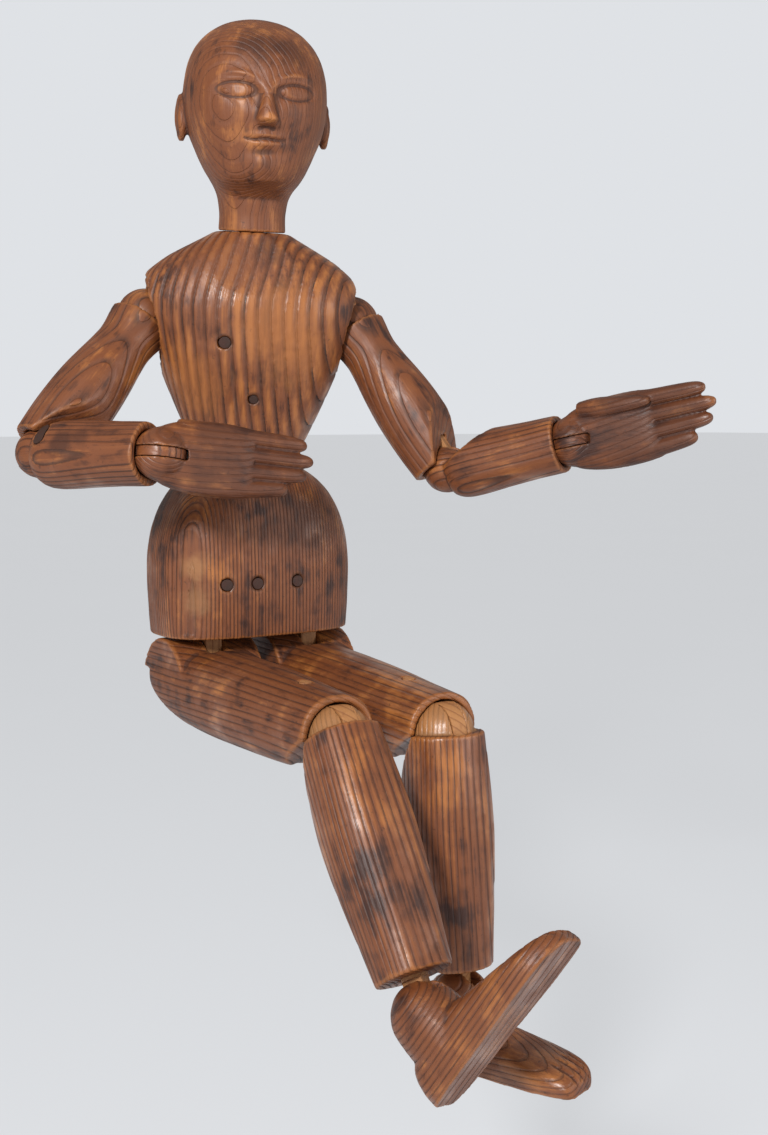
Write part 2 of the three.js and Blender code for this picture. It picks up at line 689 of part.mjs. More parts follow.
function forearmForm() {
  const shares = [
    [0, 0.8, 0.86, 0, 0.03],
    [0.07, 0.94, 0.98, 0, 0.05],
    [0.2, 1, 1.02, 0, 0.04],
    [0.45, 0.97, 0.97, 0, 0.01],
    [0.75, 0.92, 0.91],
    [1, 0.92, 0.9],
  ];
  const end = -FOREARM_LENGTH + WRIST_RIM;
  return carved(rowsBetween(-ELBOW_GAP, end, FOREARM_WIDTH, FOREARM_WIDTH, shares), 2.3);
}

function forearmShaft() {
  return cut(forearmForm(), relief(-1, ELBOW_RELIEF, false));
}

function forearm(side) {
  const wrist = [0, 0, -FOREARM_LENGTH];
  const knuckle = ball(ELBOW_BALL_RADIUS);
  const pinReach = ELBOW_BALL_RADIUS - 2;
  const piece = cut(
    union(forearmShaft(), knuckle),
    sweptSlot(X, ELBOW_TONGUE, ELBOW_TONGUE_RADIUS, FOREARM_WIDTH, -ELBOW_BEND, 0),
    bore(X, PIN_RADIUS, -pinReach - FIT, pinReach + FIT),
    elbowPlug(ELBOW_PLUG_DEPTH + FIT, FIT),
    cup(WRIST_BALL_RADIUS, wrist),
    bore(Z, WRIST_DOWEL_RADIUS, -FOREARM_LENGTH, -FOREARM_LENGTH + WRIST_DOWEL_LENGTH + FIT),
  );
  return side > 0 ? piece : mirrorX(piece);
}

function wristTongue() {
  const shoulder = WRIST_BALL_RADIUS + FIT;
  const dowel = [WRIST_DOWEL_RADIUS, shoulder, WRIST_DOWEL_LENGTH];
  const piece = dowelTongue(Y, WRIST_TONGUE, WRIST_TONGUE_RADIUS, ...dowel, 1);
  return cut(piece, bore(Y, WRIST_PIN_RADIUS, -FAR, FAR));
}

// A left hand with its palm towards -X and its thumb towards -Y.
function hand(side) {
  const palm = carved(
    rowsBetween(4, -PALM_LENGTH, PALM_THICKNESS, PALM_WIDTH, [
      [0, 0.9, 0.62],
      [0.12, 1.15, 0.84],
      [0.35, 1.12, 1],
      [0.7, 1, 1.02],
      [0.9, 0.84, 0.98],
      [1, 0.58, 0.93],
    ]),
    2.6,
    14,
  );
  const fingers = [
    { place: -1.5, reach: 0.95, fan: -1.5 },
    { place: -0.5, reach: 1, fan: 0 },
    { place: 0.5, reach: 0.96, fan: 2 },
    { place: 1.5, reach: 0.84, fan: 5 },
  ];
  const pieces = fingers.map(({ place, reach, fan }) => {
    const root = -PALM_LENGTH * 0.8;
    const length = HAND_LENGTH * reach + root;
    const shares = [
      [0, 1, 0.98],
      [0.35, 1.03, 1],
      [0.68, 0.95, 0.97, -0.06],
      [0.88, 0.82, 0.86, -0.14],
      [0.97, 0.52, 0.58, -0.24],
      [1, 0.2, 0.24, -0.3],
    ];
    const rows = rowsBetween(0, -length, FINGER_WIDTH * 1.15, FINGER_WIDTH, shares);
    return carved(rows, 2.2, 10)
      .rotate([-fan, 0, 0])
      .translate([0, place * FINGER_WIDTH, root]);
  });
  const thumbRows = rowsBetween(0, -HAND_LENGTH * 0.5, 10.5, 10.5, [
    [0, 0.8, 0.8],
    [0.25, 1.1, 1.1],
    [0.6, 0.95, 0.9],
    [0.9, 0.7, 0.62],
    [1, 0.3, 0.3],
  ]);
  const thumb = carved(thumbRows, 2.2, 8)
    .rotate([5, 4, 0])
    .translate([-PALM_THICKNESS * 0.28, -PALM_WIDTH * 0.4, -HAND_LENGTH * 0.1]);
  const reach = WRIST_BALL_RADIUS + FIT;
  const pinReach = WRIST_BALL_RADIUS - 2;
  const piece = cut(
    union(palm, ball(WRIST_BALL_RADIUS), ...pieces, thumb),
    sweptSlot(Y, WRIST_TONGUE, WRIST_TONGUE_RADIUS, reach, -WRIST_BEND, WRIST_BEND, WRIST_SHANK),
    bore(Y, WRIST_PIN_RADIUS, -pinReach - FIT, pinReach + FIT),
  );
  return side > 0 ? piece : mirrorX(piece);
}

function buildArm(lean, word, pose) {
  const { side } = pose;
  const place = [(side * SHOULDER_SPAN) / 2, 0, SHOULDER_LEVEL];
  const swing = joint(`${word}_shoulder_swing`, lean, place, X, -pose.swing);
  swing.add(mesh(`${word}_shoulder_ball`, shoulderBall(side), STAINED));
  const pinReach = SHOULDER_BALL_RADIUS - 2;
  swing.add(mesh(`${word}_shoulder_pin`, bar(Y, PIN_RADIUS, -pinReach, pinReach), DARK));
  const lift = joint(`${word}_shoulder_lift`, swing, [0, 0, 0], Y, -side * pose.lift);
  lift.add(mesh(`${word}_arm_stem`, armStem(), PALE));
  const twist = joint(`${word}_arm_twist`, lift, [0, 0, 0], Z, pose.twist);
  twist.add(mesh(`${word}_upper_arm`, upperArm(), STAINED));
  const elbowAt = [0, 0, -UPPER_ARM_LENGTH];
  const slip = tongue(X, ELBOW_TONGUE, ELBOW_TONGUE_RADIUS, ELBOW_TONGUE_DEPTH);
  const bored = cut(slip, bore(X, PIN_RADIUS, -FAR, FAR)).translate(elbowAt);
  twist.add(mesh(`${word}_elbow_tongue`, bored, PALE));
  const elbow = joint(`${word}_elbow_bend`, twist, elbowAt, X, -pose.elbow);
  elbow.add(mesh(`${word}_forearm`, forearm(side), STAINED));
  const elbowPin = ELBOW_BALL_RADIUS - 2;
  elbow.add(mesh(`${word}_elbow_pin`, bar(X, PIN_RADIUS, -elbowPin, elbowPin), DARK));
  const plug = elbowPlug(ELBOW_PLUG_DEPTH, 0).intersect(forearmShaft());
  elbow.add(mesh(`${word}_elbow_plug`, side > 0 ? plug : mirrorX(plug), DARK));
  const wristAt = [0, 0, -FOREARM_LENGTH];
  const turn = joint(`${word}_wrist_turn`, elbow, wristAt, Z, pose.wristTurn);
  turn.add(mesh(`${word}_wrist_tongue`, wristTongue(), STAINED));
  const bend = joint(`${word}_wrist_bend`, turn, [0, 0, 0], Y, side * pose.wristBend);
  bend.add(mesh(`${word}_hand`, hand(side), STAINED));
  const wristPin = WRIST_BALL_RADIUS - 2;
  bend.add(mesh(`${word}_wrist_pin`, bar(Y, WRIST_PIN_RADIUS, -wristPin, wristPin), DARK));
}

// Legs, in the frame of the hip centre, standing along -Z

function thighForm() {
  const shares = [
    [0, 0.62, 0.24, 0, -0.15],
    [0.02, 0.82, 0.5, 0, -0.2],
    [0.06, 0.95, 0.75, 0, -0.22],
    [0.12, 0.99, 0.88, 0, -0.12],
    [0.2, 1, 0.96, 0, -0.04],
    [0.32, 1, 1],
    [0.5, 0.965, 1],
    [0.7, 0.87, 0.97],
    [0.87, 0.77, 0.9],
    [1, KNEE_WIDTH / THIGH_WIDTH, KNEE_WIDTH / THIGH_DEPTH],
  ];
  const end = -THIGH_LENGTH + FACE_GAP / 2;
  const shaft = carved(rowsBetween(THIGH_TOP, end, THIGH_WIDTH, THIGH_DEPTH, shares), 2.25, 18);
  const half = HIP_KNUCKLE_WIDTH / 2;
  const knuckle = bar(X, PELVIS_BASE - HIP_HEIGHT - HIP_KNUCKLE_GAP, -half, half, [0, 0, 0], 24);
  const front = block([-FAR, -FAR, -FAR], [FAR, -THIGH_DEPTH * 0.2, FAR]);
  return union(shaft, knuckle.intersect(front));
}

function kneePegAt() {
  return [0, 0, -THIGH_LENGTH + KNEE_PEG_DEPTH];
}

const KNEE_PEG_END = PEG_RADIUS * 2 + KNEE_SHANK; // behind the middle of the thigh

function thigh(side) {
  const knee = [0, 0, -THIGH_LENGTH];
  const halfPin = HIP_PIN_LENGTH / 2;
  const pinEnds = side > 0 ? [-FAR, halfPin + FIT] : [-halfPin - FIT, FAR];
  const mortise = plate(
    X,
    KNEE_TONGUE + 2 * FIT,
    rectangle(0, KNEE_TONGUE_DEPTH + FIT, KNEE_SHANK + FIT, 0),
  );
  const reach = PELVIS_BASE - HIP_HEIGHT;
  return cut(
    thighForm(),
    sweptSlot(X, HIP_TONGUE, HIP_TONGUE_RADIUS, reach, -112, 8),
    bore(X, PIN_RADIUS, ...pinEnds),
    cup(KNEE_BALL_RADIUS, knee),
    mortise.translate(knee),
    relief(1, KNEE_RELIEF, true).translate(knee),
    bore(Y, PEG_RADIUS, -FAR, KNEE_PEG_END + FIT, kneePegAt()),
  );
}

function lowerLeg() {
  const shares = [
    [0, 0.87, 0.87],
    [0.1, 0.91, 0.91, 0, 0.01],
    [0.3, 0.98, 0.98, 0, 0.05],
    [0.45, 1, 1, 0, 0.07],
    [0.65, 0.93, 0.93, 0, 0.05],
    [0.85, 0.83, 0.83, 0, 0.02],
    [1, 0.77, 0.77],
  ];
  const end = -SHIN_LENGTH + ANKLE_RIM;
  const shaft = carved(rowsBetween(-FACE_GAP / 2, end, SHIN_WIDTH, SHIN_WIDTH, shares), 2.4, 18);
  const pinReach = KNEE_BALL_RADIUS - 2;
  return cut(
    union(cut(shaft, relief(1, KNEE_RELIEF, false)), ball(KNEE_BALL_RADIUS)),
    sweptSlot(X, KNEE_TONGUE, KNEE_TONGUE_RADIUS, SHIN_WIDTH, 0, KNEE_BEND, KNEE_SHANK),
    bore(X, PIN_RADIUS, -pinReach - FIT, pinReach + FIT),
    bore(Z, ANKLE_DOWEL_RADIUS, -FAR, -SHIN_LENGTH + ANKLE_DOWEL_LENGTH + FIT),
  );
}

function ankleTongue() {
  const shoulder = ANKLE_BALL_RADIUS + FIT;
  const dowel = [ANKLE_DOWEL_RADIUS, shoulder, ANKLE_DOWEL_LENGTH];
  const piece = dowelTongue(X, ANKLE_TONGUE, ANKLE_TONGUE_RADIUS, ...dowel, 1);
  return cut(piece, bore(X, PIN_RADIUS, -FAR, FAR));
}

// A left foot, toes towards -Y, with the big toe on its -X side.
function foot(side) {
  const shares = [
    [0, 0.42, 0.5],
    [0.04, 0.66, 0.74],
    [0.14, 0.78, 0.92],
    [0.28, 0.82, 0.98],
    [0.45, 0.86, 0.86, 0.02],
    [0.62, 0.95, 0.7, 0.04],
    [0.78, 1, 0.56, 0.04],
    [0.9, 0.92, 0.45, 0],
    [0.97, 0.72, 0.36, -0.1],
    [1, 0.45, 0.24, -0.16],
  ];
  const sole = -ANKLE_HEIGHT;
  const rise = ANKLE_HEIGHT * 0.86; // of the instep over the sole, at its highest
  const rows = shares.map(([along, wide, high, shift = 0]) => [
    -FOOT_HEEL + FOOT_LENGTH * along,
    (FOOT_WIDTH / 2) * wide,
    rise * high * 0.66,
    (FOOT_WIDTH / 2) * shift,
    sole + rise * high * 0.34,
  ]);
  const turned = carved(rows.reverse(), 2.7, 16).rotate([90, 0, 0]);
  const anklePost = [
    [0, ANKLE_BALL_RADIUS, ANKLE_BALL_RADIUS],
    [sole * 0.4, ANKLE_BALL_RADIUS, ANKLE_BALL_RADIUS * 1.06],
    [sole * 0.8, ANKLE_BALL_RADIUS * 0.9, ANKLE_BALL_RADIUS * 1.2],
  ];
  const body = union(turned, ball(ANKLE_BALL_RADIUS), carved(anklePost, 2, 16));
  const ground = block([-FAR, -FAR, -FAR], [FAR, FAR, sole]);
  const pinReach = ANKLE_BALL_RADIUS - 2;
  const reach = ANKLE_BALL_RADIUS + FIT;
  const piece = cut(
    body,
    ground,
    sweptSlot(X, ANKLE_TONGUE, ANKLE_TONGUE_RADIUS, reach, -ANKLE_BEND, ANKLE_BEND),
    bore(X, PIN_RADIUS, -pinReach - FIT, pinReach + FIT),
  );
  return side > 0 ? piece : mirrorX(piece);
}

function buildLeg(figure, word, pose) {
  const { side } = pose;
  const place = [(side * HIP_SPACING) / 2, -HIP_FORWARD, HIP_HEIGHT];
  const hip = joint(`${word}_hip_bend`, figure, place, X, -pose.hip);
  hip.add(mesh(`${word}_thigh`, thigh(side), STAINED));
  const halfPin = HIP_PIN_LENGTH / 2;
  hip.add(mesh(`${word}_hip_pin`, bar(X, PIN_RADIUS, -halfPin, halfPin), DARK));
  const kneeAt = [0, 0, -THIGH_LENGTH];
  const slip = tongue(X, KNEE_TONGUE, KNEE_TONGUE_RADIUS, KNEE_TONGUE_DEPTH, 0, KNEE_SHANK).translate(kneeAt);
  const pegHole = bore(Y, PEG_RADIUS, -FAR, FAR, kneePegAt());
  const bored = cut(slip, bore(X, PIN_RADIUS, -FAR, FAR, kneeAt), pegHole);
  hip.add(mesh(`${word}_knee_tongue`, bored, PALE));
  const peg = bar(Y, PEG_RADIUS, -FAR, KNEE_PEG_END, kneePegAt()).intersect(thighForm());
  hip.add(mesh(`${word}_knee_peg`, peg, PALE));
  const knee = joint(`${word}_knee_bend`, hip, kneeAt, X, pose.knee);
  knee.add(mesh(`${word}_lower_leg`, lowerLeg(), STAINED));
  const pinReach = KNEE_BALL_RADIUS - 2;
  knee.add(mesh(`${word}_knee_pin`, bar(X, PIN_RADIUS, -pinReach, pinReach), DARK));
  const turn = joint(`${word}_ankle_turn`, knee, [0, 0, -SHIN_LENGTH], Z, pose.ankleTurn);
  turn.add(mesh(`${word}_ankle_tongue`, ankleTongue(), PALE));
  const bend = joint(`${word}_ankle_bend`, turn, [0, 0, 0], X, pose.ankleBend);
  bend.add(mesh(`${word}_foot`, foot(side), STAINED));
  const anklePin = ANKLE_BALL_RADIUS - 2;
  bend.add(mesh(`${word}_ankle_pin`, bar(X, PIN_RADIUS, -anklePin, anklePin), DARK));
}

const figure = new THREE.Group();
buildPelvis(figure);
const lean = buildWaist(figure);
buildChest(lean);
buildHead(lean);
for (const word of ["right", "left"]) {
  buildArm(lean, word, POSE[word]);
  buildLeg(figure, word, POSE[word]);
}

export default figure;
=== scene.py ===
"""Looks of a jointed wooden lay figure: carved pine with raised grain, worn stain and bare joint faces."""

import json
import math

import bmesh
import bpy
import numpy as np
from mathutils import Euler, Matrix, Vector


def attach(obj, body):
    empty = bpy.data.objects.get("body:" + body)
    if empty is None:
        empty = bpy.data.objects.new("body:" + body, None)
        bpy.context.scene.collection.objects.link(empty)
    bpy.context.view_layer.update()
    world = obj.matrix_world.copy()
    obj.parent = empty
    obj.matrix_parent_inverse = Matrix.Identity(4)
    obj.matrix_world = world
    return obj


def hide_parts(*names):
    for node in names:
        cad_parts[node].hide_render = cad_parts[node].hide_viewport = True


bl_info = {
    "name": "Wooden Lay Figure",
    "version": (1, 0, 0),
    "blender": (4, 5, 0),
    "location": "View3D > Sidebar > Lay Figure",
    "description": "Carves and finishes the pieces of a jointed wooden figure",
    "category": "Object",
}

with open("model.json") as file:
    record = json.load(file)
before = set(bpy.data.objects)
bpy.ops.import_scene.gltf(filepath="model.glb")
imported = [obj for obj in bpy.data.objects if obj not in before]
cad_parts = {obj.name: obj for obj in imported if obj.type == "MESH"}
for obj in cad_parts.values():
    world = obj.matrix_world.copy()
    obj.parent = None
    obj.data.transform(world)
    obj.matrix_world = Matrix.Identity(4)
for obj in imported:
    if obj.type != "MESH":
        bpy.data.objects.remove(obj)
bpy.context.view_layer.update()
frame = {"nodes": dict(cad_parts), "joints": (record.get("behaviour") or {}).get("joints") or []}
JOINTS = {joint["name"]: joint for joint in frame["joints"]}
SIDES = ("right", "left")
MM = 0.001
SHARP = math.radians(38)  # edges that turn more than this stay crisp
NECK_REST_TURN = 3.0  # degrees between the head's and the chest's fronts, as modelled
BUMP_DISTANCE = 0.5  # mm
COAT_ROUGHNESS = 0.28
PEG_LEVEL = 82.5  # height of the pelvis' front pegs over the seat, mm
CAMERA_PLACE = (-0.3535, -0.7228, 0.1716)
CAMERA_TURN = (math.radians(84), 0, math.radians(-31.6))
LAMP_AIM = Vector((0, -0.05, 0.12))
KEY_PLACE = (-0.95, -0.95, 0.75)
FILL_PLACE = (0.75, -1.1, 0.35)
AMBIENT = (0.9, 0.88, 0.86, 1)
FLOOR_REACH = 40.0  # m, far enough that its edge lies at the horizon


# Settings that a user would change


def color_property(name, description, default):
    return bpy.props.FloatVectorProperty(
        name=name, description=description, subtype="COLOR", size=3, min=0, max=1, default=default,
    )


class FinishSettings(bpy.types.PropertyGroup):
    """Colours of the stain, the wear and the bare wood, and how deep the grain stands."""

    stain: color_property("Stain", "Brown of the stained wood", (0.175, 0.052, 0.016))
    # deep is also the colour of the painted shadow of the right hand on the pelvis
    deep: color_property("Deep Stain", "Dark brown where the stain is thick", (0.045, 0.013, 0.006))
    # worn is also the colour of the painted highlight along the middle of each ring
    worn: color_property("Worn", "Orange wood where handling has rubbed the stain thin", (0.4, 0.142, 0.036))
    line: color_property("Grain Line", "Dark line at the edge of each year's growth", (0.026, 0.008, 0.004))
    bare: color_property("Bare Wood", "Unstained wood of the joint faces", (0.42, 0.2, 0.075))
    peg: color_property("Peg Wood", "Dark wood of the locking pegs", (0.035, 0.014, 0.008))
    relief: bpy.props.FloatProperty(
        name="Grain Relief",
        description="How deep the grooves between the growth rings are, against each piece's own depth",
        min=0,
        max=3,
        default=1,
    )


class StageSettings(bpy.types.PropertyGroup):
    """The camera, the lamps and the floor."""

    lens: bpy.props.FloatProperty(
        name="Lens", description="Focal length on a 36 mm high sensor", subtype="DISTANCE_CAMERA",
        min=10, max=200, default=44.4,
    )
    key_power: bpy.props.FloatProperty(
        name="Key Lamp", description="Power of the main lamp", unit="POWER", min=0, max=500, default=19,
    )
    fill_power: bpy.props.FloatProperty(
        name="Fill Lamp", description="Power of the softer lamp", unit="POWER", min=0, max=500, default=5,
    )
    floor_level: bpy.props.FloatProperty(
        name="Floor Level", description="Height of the floor under the seat plane", unit="LENGTH",
        default=-0.303,
    )
    floor_tint: color_property("Floor", "Colour of the floor and the backdrop", (0.74, 0.76, 0.79))


# Node trees


class Value:
    """A socket of a node tree. Arithmetic on it adds Math nodes."""

    def __init__(self, sheet, socket):
        self.sheet = sheet
        self.socket = socket

    def _math(self, operation, first, second):
        return self.sheet.node("ShaderNodeMath", {"operation": operation}, {0: first, 1: second})

    def __add__(self, other):
        return self._math("ADD", self, other)

    def __radd__(self, other):
        return self._math("ADD", other, self)

    def __sub__(self, other):
        return self._math("SUBTRACT", self, other)

    def __rsub__(self, other):
        return self._math("SUBTRACT", other, self)

    def __mul__(self, other):
        return self._math("MULTIPLY", self, other)

    def __truediv__(self, other):
        return self._math("DIVIDE", self, other)

    def __mod__(self, other):
        return self._math("FLOORED_MODULO", self, other)


class Sheet:
    """A node tree being drawn up."""

    def __init__(self, tree):
        self.tree = tree

    def node(self, kind, settings=None, inputs=None, output=0):
        made = self.tree.nodes.new(kind)
        for key, value in (settings or {}).items():
            if key == "stops":
                self._set_stops(made.color_ramp, value)
            else:
                setattr(made, key, value)
        for key, value in (inputs or {}).items():
            if isinstance(value, Value):
                self.tree.links.new(value.socket, made.inputs[key])
            else:
                made.inputs[key].default_value = value
        return Value(self, made.outputs[output]) if made.outputs else made

    @staticmethod
    def _set_stops(ramp, stops):
        while len(ramp.elements) > 1:
            ramp.elements.remove(ramp.elements[-1])
        for i, (place, color) in enumerate(stops):
            element = ramp.elements[0] if i == 0 else ramp.elements.new(place)
            element.position = place
            element.color = (*color, 1)

    def vector(self, operation, first, second, output=0):
        return self.node("ShaderNodeVectorMath", {"operation": operation}, {0: first, 1: second}, output)

    def scale(self, vector, factor):
        return self.node("ShaderNodeVectorMath", {"operation": "SCALE"}, {0: vector, "Scale": factor})

    def noise(self, vector, scale, detail=2.0, roughness=0.5, output=0):
        inputs = {"Vector": vector, "Scale": scale, "Detail": detail, "Roughness": roughness}
        return self.node("ShaderNodeTexNoise", {"noise_dimensions": "3D"}, inputs, output)

    def smooth(self, value, low, high):
        inputs = {"Value": value, "From Min": low, "From Max": high}
        return self.node("ShaderNodeMapRange", {"interpolation_type": "SMOOTHSTEP"}, inputs)

    def mix(self, factor, first, second):
        inputs = {0: factor, 6: first, 7: second}
        return self.node("ShaderNodeMix", {"data_type": "RGBA"}, inputs, output=2)


def rgba(color):
    return (*color, 1)


class Grain:
    """Where a piece sits in its tree: a line of pith, the rings round it, and how they wander."""

    def __init__(self, pith, turn, spacing, wander=2.0, depth=0.15, line=0.75, gloss=1.0, crest=0.12):
        self.pith = pith
        self.turn = turn
        self.spacing = spacing
        self.wander = wander
        self.depth = depth
        self.line = line
        self.gloss = gloss
        # strength of the painted highlight, in worn orange, along the middle of each ring
        self.crest = crest


def ring_field(sheet, position, pith, turn, spacing, wander):
    """The share of a ring's growth at a place, from 0 to 1, and the place in the grain's own frame in mm."""
    from_pith = sheet.vector("SUBTRACT", position, pith)
    settings = {"rotation_type": "EULER_XYZ", "invert": True}
    turned = sheet.node("ShaderNodeVectorRotate", settings, {"Vector": from_pith, "Rotation": turn})
    in_grain = sheet.scale(turned, 1 / MM)
    stretched = sheet.vector("MULTIPLY", in_grain, (0.03, 0.03, 0.007))
    drift = sheet.vector("SUBTRACT", sheet.noise(stretched, 1.0, 2.0, output=1), (0.5, 0.5, 0.5))
    moved = sheet.vector("ADD", in_grain, sheet.scale(drift, wander))
    flat = sheet.vector("MULTIPLY", moved, (1, 1, 0))
    radius = sheet.node("ShaderNodeVectorMath", {"operation": "LENGTH"}, {0: flat}, output=1)
    return (radius / spacing) % 1.0, in_grain


def late_wood(sheet, ring):
    """The hard dark edge of a ring: it darkens slowly and ends sharply."""
    return sheet.smooth(ring, 0.66, 0.93) * (1 - sheet.smooth(ring, 0.955, 1.0))


def new_material(name):
    material = bpy.data.materials.new(name)
    material.use_nodes = True
    material.node_tree.nodes.clear()
    return material, Sheet(material.node_tree)


def shade(sheet, color, roughness, height, coat=0.0, glow=None):
    """Ends a material in one shader with a bump from a height in mm, and a glow of a colour and strength."""
    settings = {"Strength": 1.0, "Distance": BUMP_DISTANCE * MM, "Height": height}
    bump = sheet.node("ShaderNodeBump", None, settings)
    inputs = {"Base Color": color, "Roughness": roughness, "Normal": bump, "Coat Weight": coat}
    inputs["Coat Roughness"] = COAT_ROUGHNESS
    if glow:
        inputs["Emission Color"], inputs["Emission Strength"] = glow
    shader = sheet.node("ShaderNodeBsdfPrincipled", None, inputs)
    sheet.node("ShaderNodeOutputMaterial", None, {"Surface": shader})


def object_place(sheet):
    return sheet.node("ShaderNodeTexCoord", output=3)


class Mark:
    """A patch of another colour round a place: a chip, a stain, the bare wood of a joint's ball, or a painted
    shadow.
    """

    def __init__(self, place, radius, color, strength=1.0, ragged=0.7):
        self.place = tuple(place)
        self.radius = radius
        self.color = color
        self.strength = strength
        self.ragged = ragged

    def paint(self, sheet, place, noise, under):
        reach = sheet.vector("DISTANCE", place, self.place, output=1) / (self.radius * MM)
        edge = reach + noise * self.ragged - 0.5 * self.ragged
        inside = 1 - sheet.smooth(edge, 1 - 0.5 * self.ragged - 0.02, 1.02)
        return sheet.mix(inside * self.strength, under, rgba(self.color))


def peg_grime(place, finish, spots):
    """The dark wood round the mouths of a block's pegs."""
    return tuple(Mark(place.world(spot), 5.5, finish.deep, 0.75, 0.5) for spot in spots)


def stained_pine(name, grain, finish, marks=()):
    """Stained pine with dark ring lines, streaks, a painted highlight along the middle of each ring, rubbed
    edges and grime in its hollows.
    """
    material, sheet = new_material(name)
    place = object_place(sheet)
    ring, in_grain = ring_field(sheet, place, grain.pith, grain.turn, grain.spacing, grain.wander)
    line = late_wood(sheet, ring)
    fibre_place = sheet.vector("MULTIPLY", in_grain, (1.3, 1.3, 0.035))
    fibre = sheet.noise(fibre_place, 1.0, 3.0, 0.6)
    patch = sheet.noise(place, 21.0, 4.0, 0.62)
    blotch = sheet.noise(place, 85.0, 3.0, 0.6)
    speck = sheet.noise(place, 420.0, 2.0, 0.7)
    wear = sheet.node("ShaderNodeAttribute", {"attribute_name": "wear"}, output=2)
    streak_place = sheet.vector("MULTIPLY", in_grain, (0.22, 0.22, 0.012))
    streak = sheet.noise(streak_place, 1.0, 3.0, 0.6)
    tone = patch * 1.15 + streak * 0.7 + blotch * 0.4 + fibre * 0.3 - 0.77
    stops = [(0.26, finish.deep), (0.44, finish.stain), (0.58, finish.stain), (0.82, finish.worn)]
    body = sheet.node("ShaderNodeValToRGB", {"stops": stops}, {0: tone})
    strength = 0.35 + sheet.smooth(streak, 0.38, 0.6) * 0.65
    lined = sheet.mix(line * strength * grain.line, body, rgba(finish.line))
    # painted highlight: worn orange laid along the middle of each ring, where the raised grain stands highest
    # and catches the light
    ridge = sheet.smooth(ring, 0.05, 0.4) * (1 - sheet.smooth(ring, 0.45, 0.7))
    painted_highlight = ridge * sheet.smooth(patch + streak, 0.86, 1.14) * grain.crest
    crested = sheet.mix(painted_highlight, lined, rgba(finish.worn))
    rubbed = sheet.smooth(wear + blotch * 1.3 - 0.65, 0.4, 1.3)
    worn = sheet.mix(rubbed * 0.42, crested, rgba(finish.worn))
    grimy = sheet.smooth(patch * 0.8 - wear - 0.4, 0.12, 0.7)
    dirty = sheet.mix(grimy * 0.75, worn, rgba(finish.deep))
    fleck = sheet.smooth(speck, 0.64, 0.74)
    color = sheet.mix(fleck * 0.5, dirty, rgba(finish.line))
    for mark in marks:
        color = mark.paint(sheet, place, blotch, color)
    polish = sheet.smooth(patch, 0.46, 0.62) * grain.gloss
    roughness = 0.5 - polish * 0.16 + line * 0.12 + grimy * 0.15
    height = fibre * 0.35 + blotch * 0.3 - line * 0.6
    shade(sheet, color, roughness, height, coat=polish * 0.3)
    return material


def bare_pine(name, grain, finish):
    """Unstained pine, rubbed smooth, with faint rings and a few dark scuffs."""
    material, sheet = new_material(name)
    place = object_place(sheet)
    ring, in_grain = ring_field(sheet, place, grain.pith, grain.turn, grain.spacing, grain.wander)
    line = late_wood(sheet, ring)
    fibre = sheet.noise(sheet.vector("MULTIPLY", in_grain, (1.5, 1.5, 0.05)), 1.0, 3.0, 0.6)
    scuff = sheet.smooth(sheet.noise(place, 120.0, 4.0, 0.65), 0.5, 0.7)
    streaked = sheet.mix(fibre * 0.5, rgba(finish.bare), rgba(finish.worn))
    lined = sheet.mix(line * 0.5, streaked, rgba(finish.stain))
    color = sheet.mix(scuff * 0.55, lined, rgba(finish.stain))
    shade(sheet, color, 0.6 + scuff * 0.1, fibre * 0.3 - line * 0.3)
    return material


def peg_wood(name, finish):
    """Dark end grain of a locking peg."""
    material, sheet = new_material(name)
    place = object_place(sheet)
    pore = sheet.noise(place, 900.0, 2.0, 0.6)
    cloud = sheet.noise(place, 160.0, 3.0, 0.6)
    dark = sheet.mix(sheet.smooth(cloud, 0.4, 0.65), rgba(finish.peg), rgba(finish.deep))
    color = sheet.mix(sheet.smooth(pore, 0.55, 0.7) * 0.5, dark, rgba(finish.line))
    shade(sheet, color, 0.55 + pore * 0.15, pore * 0.3)
    return material


def pale_floor(name, tint):
    """A plain pale floor: much of its tint is its own glow, so that it stays even and keeps soft shadows."""
    material, sheet = new_material(name)
    place = object_place(sheet)
    cloud = sheet.noise(place, 2.5, 2.0, 0.5)
    color = sheet.mix(cloud * 0.2, rgba(tint), rgba([0.94 * part for part in tint]))
    dim = sheet.mix(0.6, color, (0, 0, 0, 1))
    shade(sheet, dim, 0.85, cloud * 0.1, glow=(color, 0.66))
    return material


# Raised grain


